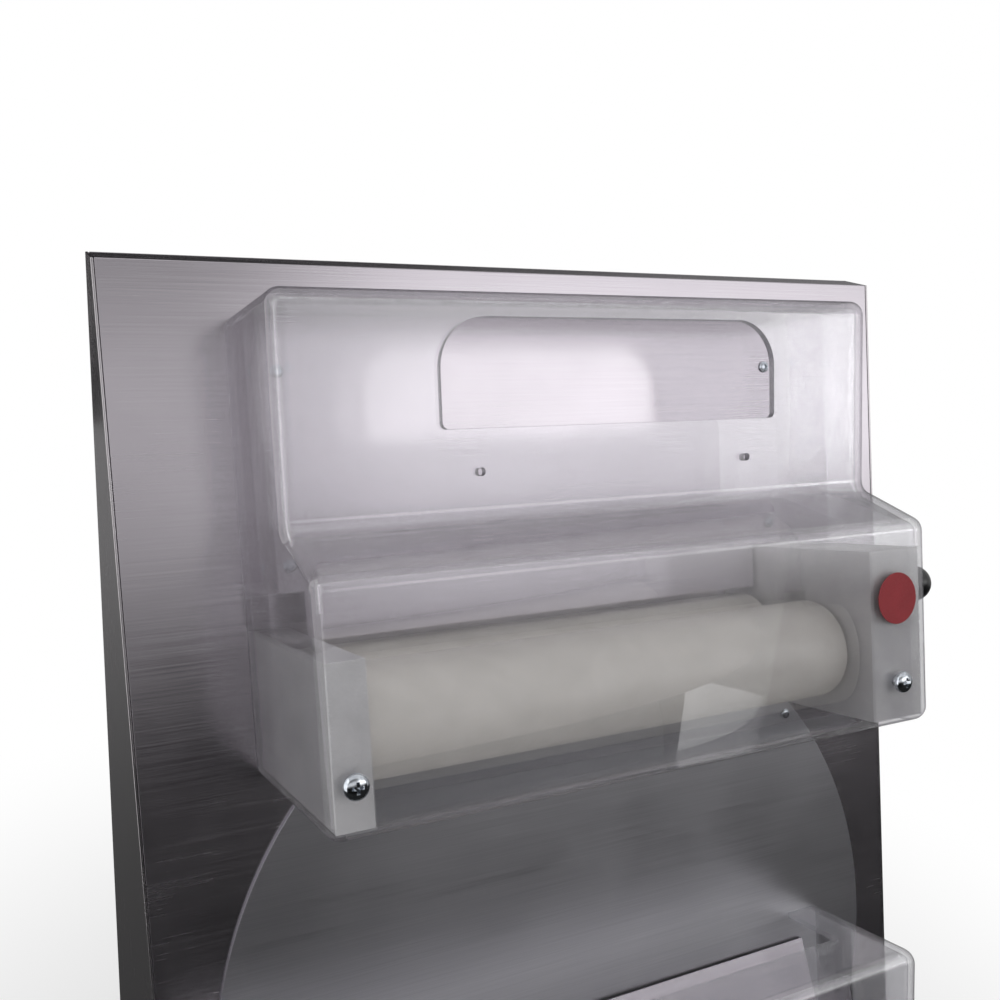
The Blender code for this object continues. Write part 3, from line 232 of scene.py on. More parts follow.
@dataclass(frozen=True)
class Finish:
    """A surface finish: its name, its two colours and the record's slot that it stands for."""

    name: str
    dark: str
    light: str
    slot: str

    def material(self) -> bpy.types.Material:
        """The finish's material, made when it is first asked for."""
        found = bpy.data.materials.get(self.name)
        if found is not None:
            return found
        material = bpy.data.materials.new(self.name)
        tree = emptied(material)
        add(tree, "ShaderNodeOutputMaterial", {"Surface": self.shade(tree)})
        return material

    def shade(self, tree: Tree) -> Socket:
        """Builds the finish's nodes and returns their shader socket."""
        raise NotImplementedError


@dataclass(frozen=True)
class BrushedSteel(Finish):
    """Ground stainless sheet: long fine lines, highlights spread across them, faint handling marks.

    The lines of a number 4 finish are 0.05 to 0.1 mm wide. They are drawn 0.45 mm wide, to show.
    """

    grain: Grain = Grain.ACROSS
    roughness: float = 0.24
    line_width: float = 0.45 * MM
    line_length: float = 90 * MM
    mark: float = 70 * MM
    depth: float = 0.01 * MM
    spread: float = 0.55

    def shade(self, tree: Tree) -> Socket:
        """Lines in colour, roughness and height, on a metal whose highlights spread across them."""
        along, across = self.grain.value
        size = tuple(self.line_length if part == 1.0 else self.line_width for part in along)
        lines = noise(tree, size, 3.0)
        marks = ranged(tree, noise(tree, self.mark, 4.0), -0.02, 0.02)
        fine = ranged(tree, lines, self.roughness - 0.03, self.roughness + 0.03)
        return principled(
            tree,
            {
                "Base Color": between(tree, lines, self.dark, self.light),
                "Metallic": 1.0,
                "Roughness": maths(tree, "ADD", fine, marks),
                "Anisotropic": self.spread,
                "Tangent": add(tree, "ShaderNodeCombineXYZ", dict(enumerate(across))).outputs[0],
                "Normal": bumped(tree, lines, self.depth, 0.2),
            },
        )


@dataclass(frozen=True)
class BlastedAluminium(Finish):
    """Bead-blasted aluminium: an even matte grey with a fine sparkle of dents.

    The dents are 0.1 to 0.2 mm wide. They are drawn 0.8 mm wide, to show.
    """

    roughness: float = 0.64
    swing: float = 0.06
    dent: float = 0.8 * MM
    cloud: float = 22 * MM
    depth: float = 0.06 * MM

    def shade(self, tree: Tree) -> Socket:
        """Dents in colour, roughness and height, over slow cloudiness."""
        dents = noise(tree, self.dent, 2.0)
        clouds = noise(tree, self.cloud, 3.0)
        halved = maths(tree, "MULTIPLY", maths(tree, "ADD", dents, clouds), 0.5)
        return principled(
            tree,
            {
                "Base Color": between(tree, halved, self.dark, self.light),
                "Metallic": 1.0,
                "Roughness": ranged(tree, dents, self.roughness - self.swing, self.roughness + self.swing),
                "Normal": bumped(tree, dents, self.depth, 0.5),
            },
        )


@dataclass(frozen=True)
class ClearPlastic(Finish):
    """Clear copolyester, bent and machined: see-through and finely scratched, greyer at a slant, partly from
    its longer path through the wall and partly as painted shade for the dark lines that bending makes.

    It is mostly shaded as a thin wall, which shows what is behind it straight and mirrors more at a slant.
    A share of true bending is mixed in, and the faces a saw or drill left get a darker see-through colour,
    painted shade for the dark lines at a cut. Lamps shine straight through it.
    """

    ior: float = 1.45
    bend: float = 0.25
    # Grey that the see-through takes at a slant: partly the longer path through the wall, partly painted
    # shade for the dark lines of bending
    rim: str = "b4b1b6"
    # Darker see-through colour of the cut faces: painted shade for the dark lines at a cut
    cut: str = "6f6d72"
    scratch: tuple[float, float, float] = (1.2 * MM, 30 * MM, 1.2 * MM)
    roughest: float = 0.01
    mirrored: Span = (0.07, 0.9)

    def shade(self, tree: Tree) -> Socket:
        """A thin wall with some bending for what is seen, and see-through for the light that falls inside."""
        scratches = noise(tree, self.scratch, 2.0)
        rough = ranged(tree, scratches, 0.0, self.roughest)
        glass = principled(
            tree,
            {
                "Base Color": between(tree, scratches, self.dark, self.light),
                "Roughness": rough,
                "IOR": self.ior,
                "Transmission Weight": 1.0,
            },
        )
        slant = add(tree, "ShaderNodeLayerWeight", {"Blend": 0.5}).outputs["Facing"]
        # Darker see-through at a slant: partly the longer path through the wall, partly painted shade for the
        # dark lines of bending
        tint = tinted(tree, maths(tree, "POWER", slant, 3.0), linear(self.light), linear(self.rim))
        # The marked cut faces take the darker colour: painted shade at the cut
        cut_face_shade = add(tree, "ShaderNodeAttribute", attribute_name="cut_face_shade").outputs["Fac"]
        colour = tinted(tree, cut_face_shade, tint, linear(self.cut))
        through = add(tree, "ShaderNodeBsdfTransparent", {"Color": colour}).outputs[0]
        grazing = maths(tree, "POWER", slant, 5.0)
        inputs = {"Value": grazing, "To Min": self.mirrored[0], "To Max": self.mirrored[1]}
        share = add(tree, "ShaderNodeMapRange", inputs).outputs[0]
        shine = add(tree, "ShaderNodeBsdfGlossy", {"Roughness": rough}).outputs[0]
        wall = blended(tree, self.bend, blended(tree, share, through, shine), glass)
        clear = add(tree, "ShaderNodeBsdfTransparent", {"Color": linear(self.light)}).outputs[0]
        path = add(tree, "ShaderNodeLightPath").outputs
        passes = maths(tree, "MAXIMUM", path["Is Shadow Ray"], path["Is Diffuse Ray"])
        return blended(tree, passes, wall, clear)


@dataclass(frozen=True)
class Polymer(Finish):
    """Plastic or rubber, moulded or turned, with its own texture in height and shine."""

    roughness: float = 0.4
    swing: float = 0.06
    texture: tuple[float, float, float] = (0.6 * MM, 0.6 * MM, 0.6 * MM)
    cloud: float = 16 * MM
    depth: float = 0.02 * MM
    glow: float = 0.0
    coat: float = 0.0

    def shade(self, tree: Tree) -> Socket:
        """Cloudy colour over the texture, with some light carried under the surface where it glows."""
        texture = noise(tree, self.texture, 2.0)
        clouds = noise(tree, self.cloud, 3.0)
        return principled(
            tree,
            {
                "Base Color": between(tree, clouds, self.dark, self.light),
                "Roughness": ranged(tree, texture, self.roughness - self.swing, self.roughness + self.swing),
                "IOR": 1.5,
                "Subsurface Weight": self.glow,
                "Subsurface Radius": (1.0, 0.9, 0.8),
                "Subsurface Scale": 3 * MM,
                "Coat Weight": self.coat,
                "Coat Roughness": 0.15,
                "Normal": bumped(tree, texture, self.depth, 0.5),
            },
        )


@dataclass(frozen=True)
class MachinedSteel(Finish):
    """Turned, plated or oiled steel, with marks that follow its axis."""

    roughness: float = 0.25
    swing: float = 0.06
    texture: tuple[float, float, float] = (0.5 * MM, 12 * MM, 12 * MM)
    depth: float = 0.01 * MM

    def shade(self, tree: Tree) -> Socket:
        """Tool marks in colour, shine and height."""
        marks = noise(tree, self.texture, 2.0)
        return principled(
            tree,
            {
                "Base Color": between(tree, marks, self.dark, self.light),
                "Metallic": 1.0,
                "Roughness": ranged(tree, marks, self.roughness - self.swing, self.roughness + self.swing),
                "Normal": bumped(tree, marks, self.depth, 0.4),
            },
        )


# Austenitic stainless sheet, ground across: a lavender grey with soft upright reflections
PANEL_STEEL = BrushedSteel("ground_stainless_across", "b7b1b8", "c2bdc3", "stainless")
# The same sheet, with its lines upright on the cabinet's sides
SIDE_STEEL = BrushedSteel("ground_stainless_upright", "aeaaad", "b9b5b8", "stainless", grain=Grain.UPRIGHT)
# Coarser, duller ground sheet that dough slides on
SLIDE_STEEL = BrushedSteel(
    "dull_ground_stainless", "abaaaf", "b6b5ba", "dark_stainless", roughness=0.34, spread=0.6
)
# Cast and milled aluminium, bead-blasted: pale matte grey
BLOCK_ALUMINIUM = BlastedAluminium("bead_blasted_aluminium", "c2c1c1", "e0dfdf", "blasted_aluminium")
# Bent copolyester sheet: clear, faintly cool
HOOD_CLEAR = ClearPlastic("clear_copolyester", "f8f8fa", "fcfcfd", "clear_plastic")
# Turned polyethylene: off-white, waxy, light goes a little way into it
ROLLER_POLYMER = Polymer(
    "turned_polyethylene",
    "bcb8b2",
    "c7c3bd",
    "roller_plastic",
    roughness=0.36,
    texture=(0.8 * MM, 30 * MM, 30 * MM),
    depth=0.008 * MM,
    glow=0.15,
)
# Turned shaft steel: fine rings round the axis
SHAFT_STEEL = MachinedSteel("turned_shaft_steel", "9c9a98", "b9b7b5", "turned_steel", roughness=0.28)
# Zinc-plated and polished fasteners: bright, slightly blue
PLATED_STEEL = MachinedSteel(
    "zinc_plated_steel",
    "b9bec6",
    "d6dae0",
    "plated_steel",
    roughness=0.14,
    swing=0.04,
    texture=(1.5 * MM, 1.5 * MM, 1.5 * MM),
)
# Oiled chain steel: dark, with a brown film
CHAIN_STEEL = MachinedSteel(
    "oiled_chain_steel", "4a4540", "76706a", "chain_steel", roughness=0.42, texture=(3 * MM, 3 * MM, 3 * MM)
)
# Moulded phenolic and nylon: black with a soft gloss
BLACK_PLASTIC = Polymer(
    "moulded_black_plastic", "101011", "1c1c1e", "black_plastic", roughness=0.30, coat=0.2
)
# Vulcanised rubber: dull black with a chalky bloom
FOOT_RUBBER = Polymer("vulcanised_rubber", "1b1b1b", "2a2928", "foot_rubber", roughness=0.78, depth=0.05 * MM)
# Moulded polycarbonate button caps
START_GREEN = Polymer("green_button_plastic", "0d6b31", "128a40", "start_green", roughness=0.28, coat=0.4)
STOP_RED = Polymer("red_button_plastic", "a3131b", "bd1a22", "stop_red", roughness=0.28, coat=0.4)
# Self-adhesive vinyl: flat deep red with a fine grain
DISC_VINYL = Polymer("red_vinyl", "7c0c18", "88131f", "stop_red", roughness=0.6, texture=(0.9 * MM,) * 3)
# Hammered enamel on the cast motor housing
MOTOR_ENAMEL = Polymer(
    "hammered_grey_enamel",
    "6d7277",
    "848a8f",
    "motor_paint",
    roughness=0.38,
    texture=(3 * MM,) * 3,
    depth=0.2 * MM,
)

BY_SLOT: dict[str, Finish] = {
    finish.slot: finish
    for finish in (
        PANEL_STEEL,
        SLIDE_STEEL,
        BLOCK_ALUMINIUM,
        HOOD_CLEAR,
        ROLLER_POLYMER,
        SHAFT_STEEL,
        PLATED_STEEL,
        CHAIN_STEEL,
        BLACK_PLASTIC,
        FOOT_RUBBER,
        START_GREEN,
        STOP_RED,
        MOTOR_ENAMEL,
    )
}


def arc(centre: Point2, radius: float, start: float, end: float, steps: int) -> list[Point2]:
    """Points along an arc, its angles in radians."""
    turns = [start + (end - start) * step / steps for step in range(steps + 1)]
    return [(centre[0] + radius * math.cos(a), centre[1] + radius * math.sin(a)) for a in turns]


def sleeve(inner: float, outer: float, ends: Span, edge: float, steps: int) -> list[Point2]:
    """The profile of a bored sleeve with rounded outer edges, to be turned.

    Args:
        inner: The bore's radius.
        outer: The sleeve's radius.
        ends: Where its two ends lie, the lower one first.
        edge: The radius of its outer edges.
        steps: How many steps each edge has.

    Returns:
        Points of (radius, height), from the upper end to the lower one.
    """
    low, high = ends
    upper = arc((outer - edge, high - edge), edge, math.pi / 2, 0.0, steps)
    lower = arc((outer - edge, low + edge), edge, 0.0, -math.pi / 2, steps)
    return [(inner, high), *upper, *lower, (inner, low)]


def rounded(corners: list[Point2], radii: list[float], steps: int = 10) -> list[Point2]:
    """A closed outline with each corner rounded to its own radius.

    Args:
        corners: The outline's corners.
        radii: A radius for each corner, 0 to keep it sharp.
        steps: How many steps each arc has.

    Returns:
        The outline's points.
    """
    made: list[Point2] = []
    for index, (corner, radius) in enumerate(zip(corners, radii)):
        here = Vector(corner)
        before = (Vector(corners[index - 1]) - here).normalized()
        after = (Vector(corners[(index + 1) % len(corners)]) - here).normalized()
        if radius == 0.0:
            made.append((here.x, here.y))
            continue
        half = before.angle(after) / 2
        centre = here + (before + after).normalized() * radius / math.sin(half)
        first = here + before * radius / math.tan(half) - centre
        last = here + after * radius / math.tan(half) - centre
        start = math.atan2(first.y, first.x)
        sweep = (math.atan2(last.y, last.x) - start + math.pi) % (2 * math.pi) - math.pi
        made += arc((centre.x, centre.y), radius, start, start + sweep, steps)
    return made


def moved_in(points: list[Point2], distance: float) -> list[Point2]:
    """A closed outline, drawn clockwise, moved inwards by a distance with its corners mitred."""
    made: list[Point2] = []
    for index, point in enumerate(points):
        here = Vector(point)
        before, after = Vector(points[index - 1]), Vector(points[(index + 1) % len(points)])
        normals = []
        for start, end in ((before, here), (here, after)):
            along = (end - start).normalized()
            normals.append(Vector((along.y, -along.x)))
        total = normals[0] + normals[1]
        moved = here + total * (2 / total.length_squared) * distance
        made.append((moved.x, moved.y))
    return made


def linked(name: str, mesh: bpy.types.Mesh) -> Piece:
    """A new object in the scene."""
    obj = bpy.data.objects.new(name, mesh)
    bpy.context.scene.collection.objects.link(obj)
    return obj


def from_builder(name: str, builder: bmesh.types.BMesh, matrix: Matrix | None = None) -> Piece:
    """Makes an object of a finished bmesh, in the machine's frame."""
    if matrix is not None:
        bmesh.ops.transform(builder, matrix=matrix, verts=builder.verts)
    bmesh.ops.recalc_face_normals(builder, faces=builder.faces)
    mesh = bpy.data.meshes.new(name)
    builder.to_mesh(mesh)
    builder.free()
    return linked(name, mesh)


def closed(builder: bmesh.types.BMesh, first: list, second: list) -> None:
    """Closes the space between two rings of points with two ends and a wall."""
    builder.faces.new(first)
    builder.faces.new(list(reversed(second)))
    for index in range(len(first)):
        after = (index + 1) % len(first)
        builder.faces.new((first[index], second[index], second[after], first[after]))


def prism(name: str, outline: list[Point2], span: Span, plane: Plane) -> Piece:
    """An outline in the panel's frame, run from one depth to another.

    Args:
        name: The object's name.
        outline: Points of (x, u) on the face, or (n, u) for a profile.
        span: From which n to which n, or from which x to which x.
        plane: Which of the two it is.

    Returns:
        A closed solid in the machine's frame.
    """
    builder = bmesh.new()
    rings = []
    for depth in span:
        if plane is Plane.FACE:
            ring = [builder.verts.new((a, -depth, b)) for a, b in outline]
        else:
            ring = [builder.verts.new((depth, -a, b)) for a, b in outline]
        rings.append(ring)
    closed(builder, *rings)
    return from_builder(name, builder, PANEL.matrix())


def slab(name: str, x: Span, n: Span, u: Span) -> Piece:
    """A box in the panel's frame."""
    return prism(name, [(x[0], u[0]), (x[1], u[0]), (x[1], u[1]), (x[0], u[1])], n, Plane.FACE)


def turned(name: str, profile: list[Point2], origin: Vector, axis: Vector, steps: int = 96) -> Piece:
    """A turned solid: (radius, height) points spun round an axis.

    Args:
        name: The object's name.
        profile: Points from one end to the other. A radius of 0 closes it at a pole, and a profile that
            never meets the axis is closed into a ring.
        origin: Where height 0 lies, in the machine's frame.
        axis: The direction that height runs.
        steps: How many steps go round.

    Returns:
        A closed solid in the machine's frame.
    """
    builder = bmesh.new()
    turns = [2 * math.pi * step / steps for step in range(steps)]
    rings = []
    for radius, height in profile:
        if radius == 0.0:
            rings.append([builder.verts.new((0.0, 0.0, height))])
            continue
        rings.append([builder.verts.new((radius * math.cos(a), radius * math.sin(a), height)) for a in turns])
    pairs = list(zip(rings, rings[1:]))
    if profile[0][0] and profile[-1][0]:
        pairs.append((rings[-1], rings[0]))
    for first, second in pairs:
        for step in range(steps):
            after = (step + 1) % steps
            corners = [first[step % len(first)], first[after % len(first)]]
            corners += [second[after % len(second)], second[step % len(second)]]
            builder.faces.new(list(dict.fromkeys(corners)))
    turn = UPWARDS.rotation_difference(axis).to_matrix().to_4x4()
    return from_builder(name, builder, Matrix.Translation(origin) @ turn)


def bored(name: str, radius: float, start: Vector, end: Vector, steps: int = 48) -> Piece:
    """A plain rod between two points, to cut a hole with."""
    length = (end - start).length
    profile = [(0.0, 0.0), (radius, 0.0), (radius, length), (0.0, length)]
    return turned(name, profile, start, end - start, steps)


def settle(obj: Piece) -> Piece:
    """Turns an object's modifiers into its plain mesh."""
    graph = bpy.context.evaluated_depsgraph_get()
    graph.update()
    mesh = bpy.data.meshes.new_from_object(
        obj.evaluated_get(graph), preserve_all_data_layers=True, depsgraph=graph
    )
    obj.modifiers.clear()
    old = obj.data
    obj.data = mesh
    bpy.data.meshes.remove(old)
    return obj


def combined(
    obj: Piece, tools: list[Piece], operation: str = "DIFFERENCE", solver: Solver = Solver.EXACT
) -> Piece:
    """Cuts the tools out of an object, or joins them to it, and removes them."""
    for tool in tools:
        modifier = obj.modifiers.new(tool.name, "BOOLEAN")
        modifier.operation = operation
        modifier.solver = solver.value
        modifier.object = tool
    settle(obj)
    for tool in tools:
        bpy.data.objects.remove(tool)
    return obj


def eased(obj: Piece, width: float, steps: int = 2, angle_deg: float = 40.0) -> Piece:
    """Rounds the edges of a solid."""
    bevel = obj.modifiers.new("eased", "BEVEL")
    bevel.width = width
    bevel.segments = steps
    bevel.limit_method = "ANGLE"
    bevel.angle_limit = math.radians(angle_deg)
    bevel.use_clamp_overlap = True
    return settle(obj)


def shaded(obj: Piece, angle_deg: float = 32.0) -> Piece:
    """Smooth shading that keeps flat faces flat and sharp edges sharp."""
    obj.data.shade_smooth()
    obj.data.set_sharp_from_angle(angle=math.radians(angle_deg))
    weighted = obj.modifiers.new("weighted", "WEIGHTED_NORMAL")
    weighted.keep_sharp = True
    weighted.weight = 100
    return settle(obj)


def finished(obj: Piece, finish: Finish, body: str, replaces: tuple[str, ...] = ()) -> Piece:
    """Gives a piece its material, its body and the CAD nodes that it stands for."""
    obj.data.materials.clear()
    obj.data.materials.append(finish.material())
    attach(obj, body)
    if replaces:
        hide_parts(*replaces)
    LOG.info("piece %s: %d faces, %s, on %s", obj.name, len(obj.data.polygons), finish.name, body)
    return obj


def copied(nodes: Nodes, node: str) -> Piece:
    """A merged copy of a CAD node's mesh, its flat faces whole again."""
    builder = bmesh.new()
    builder.from_mesh(nodes[node].data)
    bmesh.ops.remove_doubles(builder, verts=builder.verts, dist=1e-6)
    bmesh.ops.dissolve_limit(
        builder, angle_limit=math.radians(0.6), verts=builder.verts, edges=builder.edges
    )
    mesh = bpy.data.meshes.new(f"{node}_eased")
    builder.to_mesh(mesh)
    builder.free()
    return linked(f"{node}_eased", mesh)


class ScrewKind(Enum):
    """The fasteners that show: a pan head with a cross recess, or a low button head with a hexagon."""

    PAN = "pan"
    BUTTON = "button"


@dataclass(frozen=True)
class Screw:
    """One kind of screw: its head, its shank and its recess.

    The dome's rise is a share of the head's height, and the recess's widths are shares of its radius.
    """

    kind: ScrewKind
    head_radius: float
    head_height: float
    shank_radius: float
    shank_length: float
    recess: float
    hexagon_share: float = 0.48
    cross_share: float = 0.62
    arm_share: float = 0.13
    foot_share: float = 0.35
    dome_share: float = 0.72
    dome_steps: int = 10

    def prototype(self) -> Piece:
        """A screw at the origin that points up, with its recess cut in."""
        rise = self.head_height * self.dome_share
        edge = self.head_height - rise
        dome = []
        for step in range(self.dome_steps + 1):
            angle = math.pi / 2 * step / self.dome_steps
            dome.append((self.head_radius * math.sin(angle), edge + rise * math.cos(angle) ** 0.9))
        dome[0] = (0.0, self.head_height)
        profile = dome + [
            (self.head_radius, CLEAR),
            (self.shank_radius, CLEAR),
            (self.shank_radius, -self.shank_length),
            (0.0, -self.shank_length),
        ]
        screw = turned(f"{self.kind.value}_screw", profile, Vector(), UPWARDS, 64)
        combined(screw, [self.recess_tool()])
        return shaded(screw, 38.0)

    def recess_tool(self) -> Piece:
        """The tapered cross, or the hexagon, that is cut into the head."""
        top, foot = self.head_height + 1 * MM, self.head_height - self.recess
        if self.kind is ScrewKind.BUTTON:
            radius = self.head_radius * self.hexagon_share
            profile = [(0.0, foot), (radius, foot), (radius, top), (0.0, top)]
            return turned("hexagon", profile, Vector(), UPWARDS, 6)
        builder = bmesh.new()
        wide, slim = self.head_radius * self.cross_share, self.head_radius * self.arm_share
        rings = []
        for height, reach in ((foot, wide * self.foot_share), (top, wide)):
            ring = []
            for quarter in range(4):
                turn = Matrix.Rotation(quarter * math.pi / 2, 3, "Z")
                for x, y in ((reach, -slim), (reach, slim), (slim, slim)):
                    ring.append(builder.verts.new(turn @ Vector((x, y, height))))
            rings.append(ring)
        closed(builder, *rings)
        return from_builder("cross", builder)


HOOD_SCREW = Screw(ScrewKind.PAN, 6.25 * MM, 4.0 * MM, 3.0 * MM, 7.5 * MM, 2.2 * MM)
CHUTE_SCREW = Screw(ScrewKind.BUTTON, 3.6 * MM, 2.0 * MM, 1.9 * MM, 1.0 * MM, 1.1 * MM)
COVER_SCREW = Screw(ScrewKind.PAN, 4.0 * MM, 2.4 * MM, 1.9 * MM, 1.2 * MM, 1.2 * MM)


def screw_tree(finish: Finish) -> Tree:
    """Geometry nodes that set a screw on each point, turned to the point's own facing.

    Args:
        finish: The screws' finish.

    Returns:
        The tree, whose inputs are the points, the screw's object and its scale.
    """
    tree = bpy.data.node_groups.new("screws_on_points", "GeometryNodeTree")
    for name, way, kind in (
        ("Points", "INPUT", "Geometry"),
        ("Screw", "INPUT", "Object"),
        ("Size", "INPUT", "Float"),
        ("Screws", "OUTPUT", "Geometry"),
    ):
        tree.interface.new_socket(name, in_out=way, socket_type=f"NodeSocket{kind}")
    given = add(tree, "NodeGroupInput").outputs
    shape = add(tree, "GeometryNodeObjectInfo", {"Object": given["Screw"]}).outputs["Geometry"]
    named = add(tree, "GeometryNodeInputNamedAttribute", {"Name": "facing"}, data_type="FLOAT_VECTOR")
    facing = {"Vector": named.outputs["Attribute"]}
    turn = add(tree, "FunctionNodeAlignRotationToVector", facing, axis="Z").outputs[0]
    inputs = {"Points": given["Points"], "Instance": shape, "Rotation": turn, "Scale": given["Size"]}
    placed = add(tree, "GeometryNodeInstanceOnPoints", inputs).outputs[0]
    real = add(tree, "GeometryNodeRealizeInstances", {"Geometry": placed}).outputs[0]
    dressed = add(tree, "GeometryNodeSetMaterial", {"Geometry": real, "Material": finish.material()})
    add(tree, "NodeGroupOutput", {"Screws": dressed.outputs[0]})
    return tree


def screwed(name: str, screw: Screw, places: list[tuple[Vector, Vector]]) -> Piece:
    """Plated screws of one kind, set on their places by geometry nodes.

    Args:
        name: The object's name.
        screw: The kind of screw.
        places: For each screw, the point under its head and the way it faces.

    Returns:
        One plain mesh with all the screws.
    """
    prototype = screw.prototype()
    mesh = bpy.data.meshes.new(name)
    mesh.from_pydata([place for place, _ in places], [], [])
    facing = mesh.attributes.new("facing", "FLOAT_VECTOR", "POINT")
    for item, (_, way) in zip(facing.data, places):
        item.vector = way
    obj = linked(name, mesh)
    tree = screw_tree(PLATED_STEEL)
    modifier = obj.modifiers.new("screws", "NODES")
    modifier.node_group = tree
    names = {item.name: item.identifier for item in tree.interface.items_tree if item.in_out == "INPUT"}
    modifier[names["Screw"]] = prototype
    modifier[names["Size"]] = 1.0
    settle(obj)
    bpy.data.objects.remove(prototype)
    bpy.data.node_groups.remove(tree)
    return obj


@dataclass
class RollerHead:
    """One pair of rollers under its hood, with the blocks, chute, screws and gap lever that go with it.

    Heights called a drop are measured down from the hood's top, and insets from the hood's nearer side.
    """

    name: str
    left: float
    top: float
    space: float
    back: float
    ramp: bool
    wall: float = 4 * MM
    seat: float = CLEAR
    hood_height: float = 254.5 * MM
    top_n: float = 91 * MM
    step_n: float = 86 * MM
    front_n: float = 130 * MM
    step_drop: float = 115 * MM
    ledge_drop: float = 135 * MM
    edge_radius: float = 8 * MM
    corner_radius: float = 9 * MM
    lip: float = 11 * MM
    mouth_x: Span = (85.7 * MM, 300.7 * MM)
    mouth_drops: Span = (13.7 * MM, 69.7 * MM)
    mouth_radii: Span = (26 * MM, 3.5 * MM)
    slot_inset: float = 30 * MM
    slot_n: float = 50 * MM
    vent_x: Span = (106.7 * MM, 279.7 * MM)
    vent_drop: float = 91.8 * MM
    vent_radius: float = 2.2 * MM
    block_width: float = 19.3 * MM
    case_width: float = 38.6 * MM
    case_drop: float = 150.5 * MM
    axis_drop: float = 211.5 * MM
    roller_radius: float = 29.5 * MM
    roller_edge: float = 2.5 * MM
    roller_end_gap: float = 1.5 * MM
    front_roller_n: float = 80.5 * MM
    roller_gap: float = 0.8 * MM
    half_travel: float = 1.5 * MM
    shaft_radius: float = 8 * MM
    screw_drop: float = 228 * MM
    screw_insets: Span = (13.5 * MM, 24.3 * MM)
    screw_hole: float = 3.3 * MM
    chute_screw_insets: Span = (18.5 * MM, 30.5 * MM)
    chute_screw_drops: Span = (33.5 * MM, 135.5 * MM)
    chute_n: float = 31 * MM
    hub_gap: float = 1.5 * MM
    hub_width: float = 11.5 * MM
    hub_radius: float = 13 * MM
    hub_bore: float = 6 * MM
    hub_edge: float = 1 * MM
    arm_radius: float = 4 * MM
    arm_sunk: float = 2 * MM
    knob_radius: float = 12 * MM
    knob_flat: float = 5.2 * MM
    knob_bore: float = 4.3 * MM
    knob_out_x: float = 45 * MM
    knob_out: Point2 = (-9.5 * MM, 30 * MM)
    overrun: float = 10 * MM

    @property
    def hood_left(self) -> float:
        """The hood's outer left side."""
        return self.left - PANEL_HALF

    @property
    def rollers_left(self) -> float:
        """The left end of the rollers' space."""
        return self.hood_left + self.wall + self.seat + self.block_width

    @property
    def rollers_right(self) -> float:
        """The right end of the rollers' space."""
        return self.rollers_left + self.space

    @property
    def hood_right(self) -> float:
        """The hood's outer right side."""
        return self.rollers_right + self.case_width + self.seat + self.wall

    @property
    def axis_u(self) -> float:
        """How high the rollers' axes lie."""
        return self.top - self.axis_drop

    @property
    def gap_n(self) -> float:
        """How far out the gap shaft's axis lies: in the middle of the front roller's travel."""
        return self.front_roller_n + self.half_travel

    def node(self, part: str) -> str:
        """The name of one of this head's CAD nodes."""
        return f"{self.name}_{part}"

    def build(self, nodes: Nodes) -> None:
        """Builds and dresses every piece of the head."""
        self.build_hood()
        self.build_rollers()
        self.build_screws()
        self.build_lever()
        for part in ("left_block", "gear_case", "gear_cover"):
            self.ease(nodes, part, BLOCK_ALUMINIUM, 0.6 * MM)
        self.ease(nodes, "feed_chute", PANEL_STEEL, 0.5 * MM)
        for part in ("rear_scraper", "front_scraper"):
            self.ease(nodes, part, PANEL_STEEL, 0.3 * MM)

    def ease(self, nodes: Nodes, part: str, finish: Finish, width: float) -> None:
        """Replaces one of the head's fixed solids by a copy with rounded edges."""
        piece = shaded(eased(copied(nodes, self.node(part)), width))
        finished(piece, finish, "cabinet", (self.node(part),))

    def hood_outline(self) -> list[Point2]:
        """The hood's outer profile, clockwise, with its open back run on behind the panel."""
        behind = -2 * self.overrun
        return [
            (behind, self.top),
            (self.top_n, self.top),
            (self.step_n, self.top - self.step_drop),
            (self.front_n, self.top - self.ledge_drop),
            (self.front_n, self.top - self.hood_height),
            (behind, self.top - self.hood_height),
        ]

    def hood_solid(self, name: str, inset: float, foot_radius: float) -> Piece:
        """The hood's outside, or its inside where inset is the wall, with rounded edges."""
        corner = self.corner_radius - inset
        radii = [0.0, corner, self.edge_radius + inset, corner, foot_radius, 0.0]
        outline = rounded(moved_in(self.hood_outline(), inset), radii)
        solid = prism(name, outline, (self.hood_left + inset, self.hood_right - inset), Plane.PROFILE)
        return eased(solid, self.edge_radius - inset, 8, 60.0)

    def build_hood(self) -> None:
        """The clear hood: one wall all round, a feed mouth or slot, vents, and holes for its screws."""
        hood = self.hood_solid(f"{self.name}_hood_shell", 0.0, self.corner_radius)
        bottom = self.top - self.hood_height
        far = self.overrun
        tools = [
            self.hood_solid("hollow", self.wall, 0.0),
            slab(
                "block_room",
                (self.hood_left + self.wall, self.hood_right - self.wall),
                (-2 * far, self.front_n - self.wall),
                (bottom + self.wall, self.top - self.case_drop + self.seat),
            ),
            slab(
                "behind",
                (self.hood_left - far, self.hood_right + far),
                (-4 * far, self.back),
                (bottom - far, self.top + far),
            ),
            slab(
                "outlet",
                (self.hood_left + self.lip, self.hood_right - self.lip),
                (-2 * far, self.front_n - self.lip),
                (bottom - far, bottom + far),
            ),
            self.mouth(),
        ]
        inner = PANEL.point(self.hood_right - self.wall - self.seat, self.gap_n, self.axis_u)
        outer = PANEL.point(self.hood_right + far, self.gap_n, self.axis_u)
        tools.append(bored("gap_hole", self.shaft_radius + 2 * self.seat, inner, outer))
        for x, u in self.screw_places():
            start = PANEL.point(x, self.front_n - self.wall - far, u)
            tools.append(bored("screw_hole", self.screw_hole, start, PANEL.point(x, self.front_n + far, u)))
        for x in () if self.ramp else self.vent_x:
            u = self.top - self.vent_drop
            start = PANEL.point(self.hood_left + x, self.step_n - self.wall - far, u)
            end = PANEL.point(self.hood_left + x, self.top_n + far, u)
